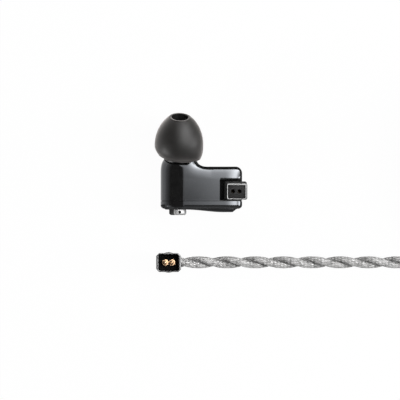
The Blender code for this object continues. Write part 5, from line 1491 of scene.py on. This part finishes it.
def make_table():
    material = bare_material("table")
    tree = material.node_tree
    paper = add_node(tree, "ShaderNodeBsdfDiffuse", {"Color": (0.9, 0.9, 0.9, 1)})
    glow = add_node(tree, "ShaderNodeEmission", {"Strength": 1.0})
    share = add_node(tree, "ShaderNodeMath", {0: seen_white(tree), 1: TABLE_WHITE}, operation="MULTIPLY")
    sources = {0: share.outputs[0], 1: paper.outputs[0], 2: glow.outputs[0]}
    put_out(material, add_node(tree, "ShaderNodeMixShader", sources))
    shape = bmesh.new()
    reach = TABLE_REACH
    open_skin(shape, card_rows((-reach, -reach, TABLE_Z), (reach, reach, TABLE_Z)))
    on_stage("table", shape, material)


def read_off(table, value):
    """A value read from a table of places and values, straight between them."""
    if value <= table[0][0]:
        return table[0][1]
    for (start, low), (end, high) in zip(table, table[1:]):
        if value <= end:
            return low + (high - low) * (value - start) / (end - start)
    return table[-1][1]


def reflector(name, rows, glow, material):
    """A card that only reflections see, which glows from place to place."""
    shape = bmesh.new()
    layer = shape.verts.layers.float.new("glow")
    open_skin(shape, rows)
    for vert in shape.verts:
        vert[layer] = glow(vert.co)
    thing = on_stage(name, shape, material)
    for ray in ("camera", "diffuse", "shadow", "transmission", "volume_scatter"):
        setattr(thing, "visible_" + ray, False)


def glow_material():
    material = bare_material("reflector")
    tree = material.node_tree
    amount = add_node(tree, "ShaderNodeAttribute", attribute_name="glow").outputs["Fac"]
    put_out(material, add_node(tree, "ShaderNodeEmission", {"Strength": amount}))
    return material


def arch_glow(spot):
    across = atan2(spot.x, ARCH_RADIUS) * 180 / pi
    up = atan2(spot.y, spot.z) * 180 / pi
    lit = 1 - read_off(ARCH_DIM, up)
    return max(ARCH_LEAST, read_off(ARCH_ACROSS, across) * lit + read_off(ARCH_UP, up))


def shade_glow(spot):
    return read_off(SHADE_LEVEL, atan2(SHADE_X - spot.x, spot.z - MIDDLE_Z) * 180 / pi)


def front_glow(spot):
    return read_off(FRONT_LEVEL, -spot.y)


def no_glow(spot):
    return 0.0


# Levels of the white world and table, then the arch's glow by degrees across and up
WORLD_LEVEL = 0.1
TABLE_WHITE = 0.97
TABLE_REACH = 8
TABLE_Z = -0.02 * MM
ARCH_RADIUS = 0.6
ARCH_ACROSS = [(-6, 1.1), (-1, 1.2), (1, 1.45), (4, 2.5), (6, 3.0), (12, 4.5), (20, 8.5), (28, 12.0),
               (36, 12.0), (44, 6.0), (52, 2.0), (62, 0.8)]
ARCH_UP = [(-50, -0.6), (-10, -0.5), (-3, -0.38), (0, 0.0), (2, 0.45), (5, 0.8), (10, 1.2), (35, 2.3),
           (57, 5.0), (66, 5.5)]
ARCH_DIM = [(-14, 0.97), (-9, 0.85), (-4, 0.0)]
ARCH_LEAST = 0.1
ARCH_START = -3
ARCH_STEPS = (58, 60)
# A small arch shades the left; its glow by degrees from straight up
SHADE_RADIUS = 0.025
SHADE_X = -0.006
SHADE_ENDS = (-0.06, 0.045)
SHADE_SPAN = (radians(1), radians(86))
SHADE_STEPS = 60
SHADE_LEVEL = [(0, 0.0), (55, 0.0), (85, 0.7)]
# The front's glow by the distance from the object
FRONT_LEVEL = [(0.0055, 0.06), (0.012, 0.15), (0.03, 0.4), (0.15, 0.45)]
FRONT_TABLE_REACH = 0.12
CARD_Z = 0.05 * MM
CARDS = (
    ("top_table_card", (-0.004, 0.008, CARD_Z), (0.06, 0.15, CARD_Z), no_glow),
    ("top_card", (-0.03, 0.15, 0), (0.2, 0.15, 0.07), no_glow),
    ("right_table_card", (0.013, -0.0075, CARD_Z), (0.12, 0.008, CARD_Z), no_glow),
    ("front_card", (-0.2, -0.15, 0), (0.2, -0.15, 0.12), front_glow),
    ("right_card", (0.12, -0.1, 0), (0.12, 0.15, 0.06), no_glow),
)


def make_light():
    """Lamps for the plain level of light, and cards round the object that its gloss reflects."""
    make_world()
    make_table()
    softbox("overhead", (0.19, 0.16, 0.6), (0.48, 0.58), 1.05, (0.19, 0.16, 0))
    softbox("right", (0.38, 0.067, 0.46), (0.22, 0.4), 3.7)
    softbox("top", (0.12, 0.457, 0.37), (0.5, 0.14), 3.4)
    softbox("left", (-0.435, -0.24, 0.09), (0.18, 0.18), 22.0, gloss=True)
    softbox("right_low", (0.46, -0.02, 0.09), (0.14, 0.5), 15.0, gloss=True)
    material = glow_material()
    rows = []
    sides = spaced(ARCH_START, ARCH_ACROSS[-1][0], ARCH_STEPS[1])
    for up in spaced(ARCH_UP[0][0], ARCH_UP[-1][0], ARCH_STEPS[0]):
        y = ARCH_RADIUS * sin(radians(up))
        z = ARCH_RADIUS * cos(radians(up))
        rows.append([(ARCH_RADIUS * tan(radians(across)), y, z) for across in sides])
    reflector("bright_arch", rows, arch_glow, material)
    rows = []
    bend = arc((MIDDLE_Z, SHADE_X), (SHADE_RADIUS, -SHADE_RADIUS), *SHADE_SPAN, SHADE_STEPS)
    for y in SHADE_ENDS:
        rows.append([(x, y, z) for z, x in bend])
    reflector("shade_arch", rows, shade_glow, material)
    reach = FRONT_TABLE_REACH
    rows = [[(-reach, -y, CARD_Z), (reach, -y, CARD_Z)] for y, amount in FRONT_LEVEL]
    reflector("front_table_card", rows, front_glow, material)
    for name, start, end, glow in CARDS:
        reflector(name, card_rows(start, end), glow, material)


make_camera()
finish_cad_nodes()
lead, lead_path = make_lead()
on_lead = make_tie() + make_plug() + make_jack()
on_lead += [frame["nodes"]["plug_insulator"]]
make_shell()
make_faceplate()
make_socket()
make_rim()
make_nozzle()
make_ear_tip()
make_dial()
make_light()

bpy.context.view_layer.update()
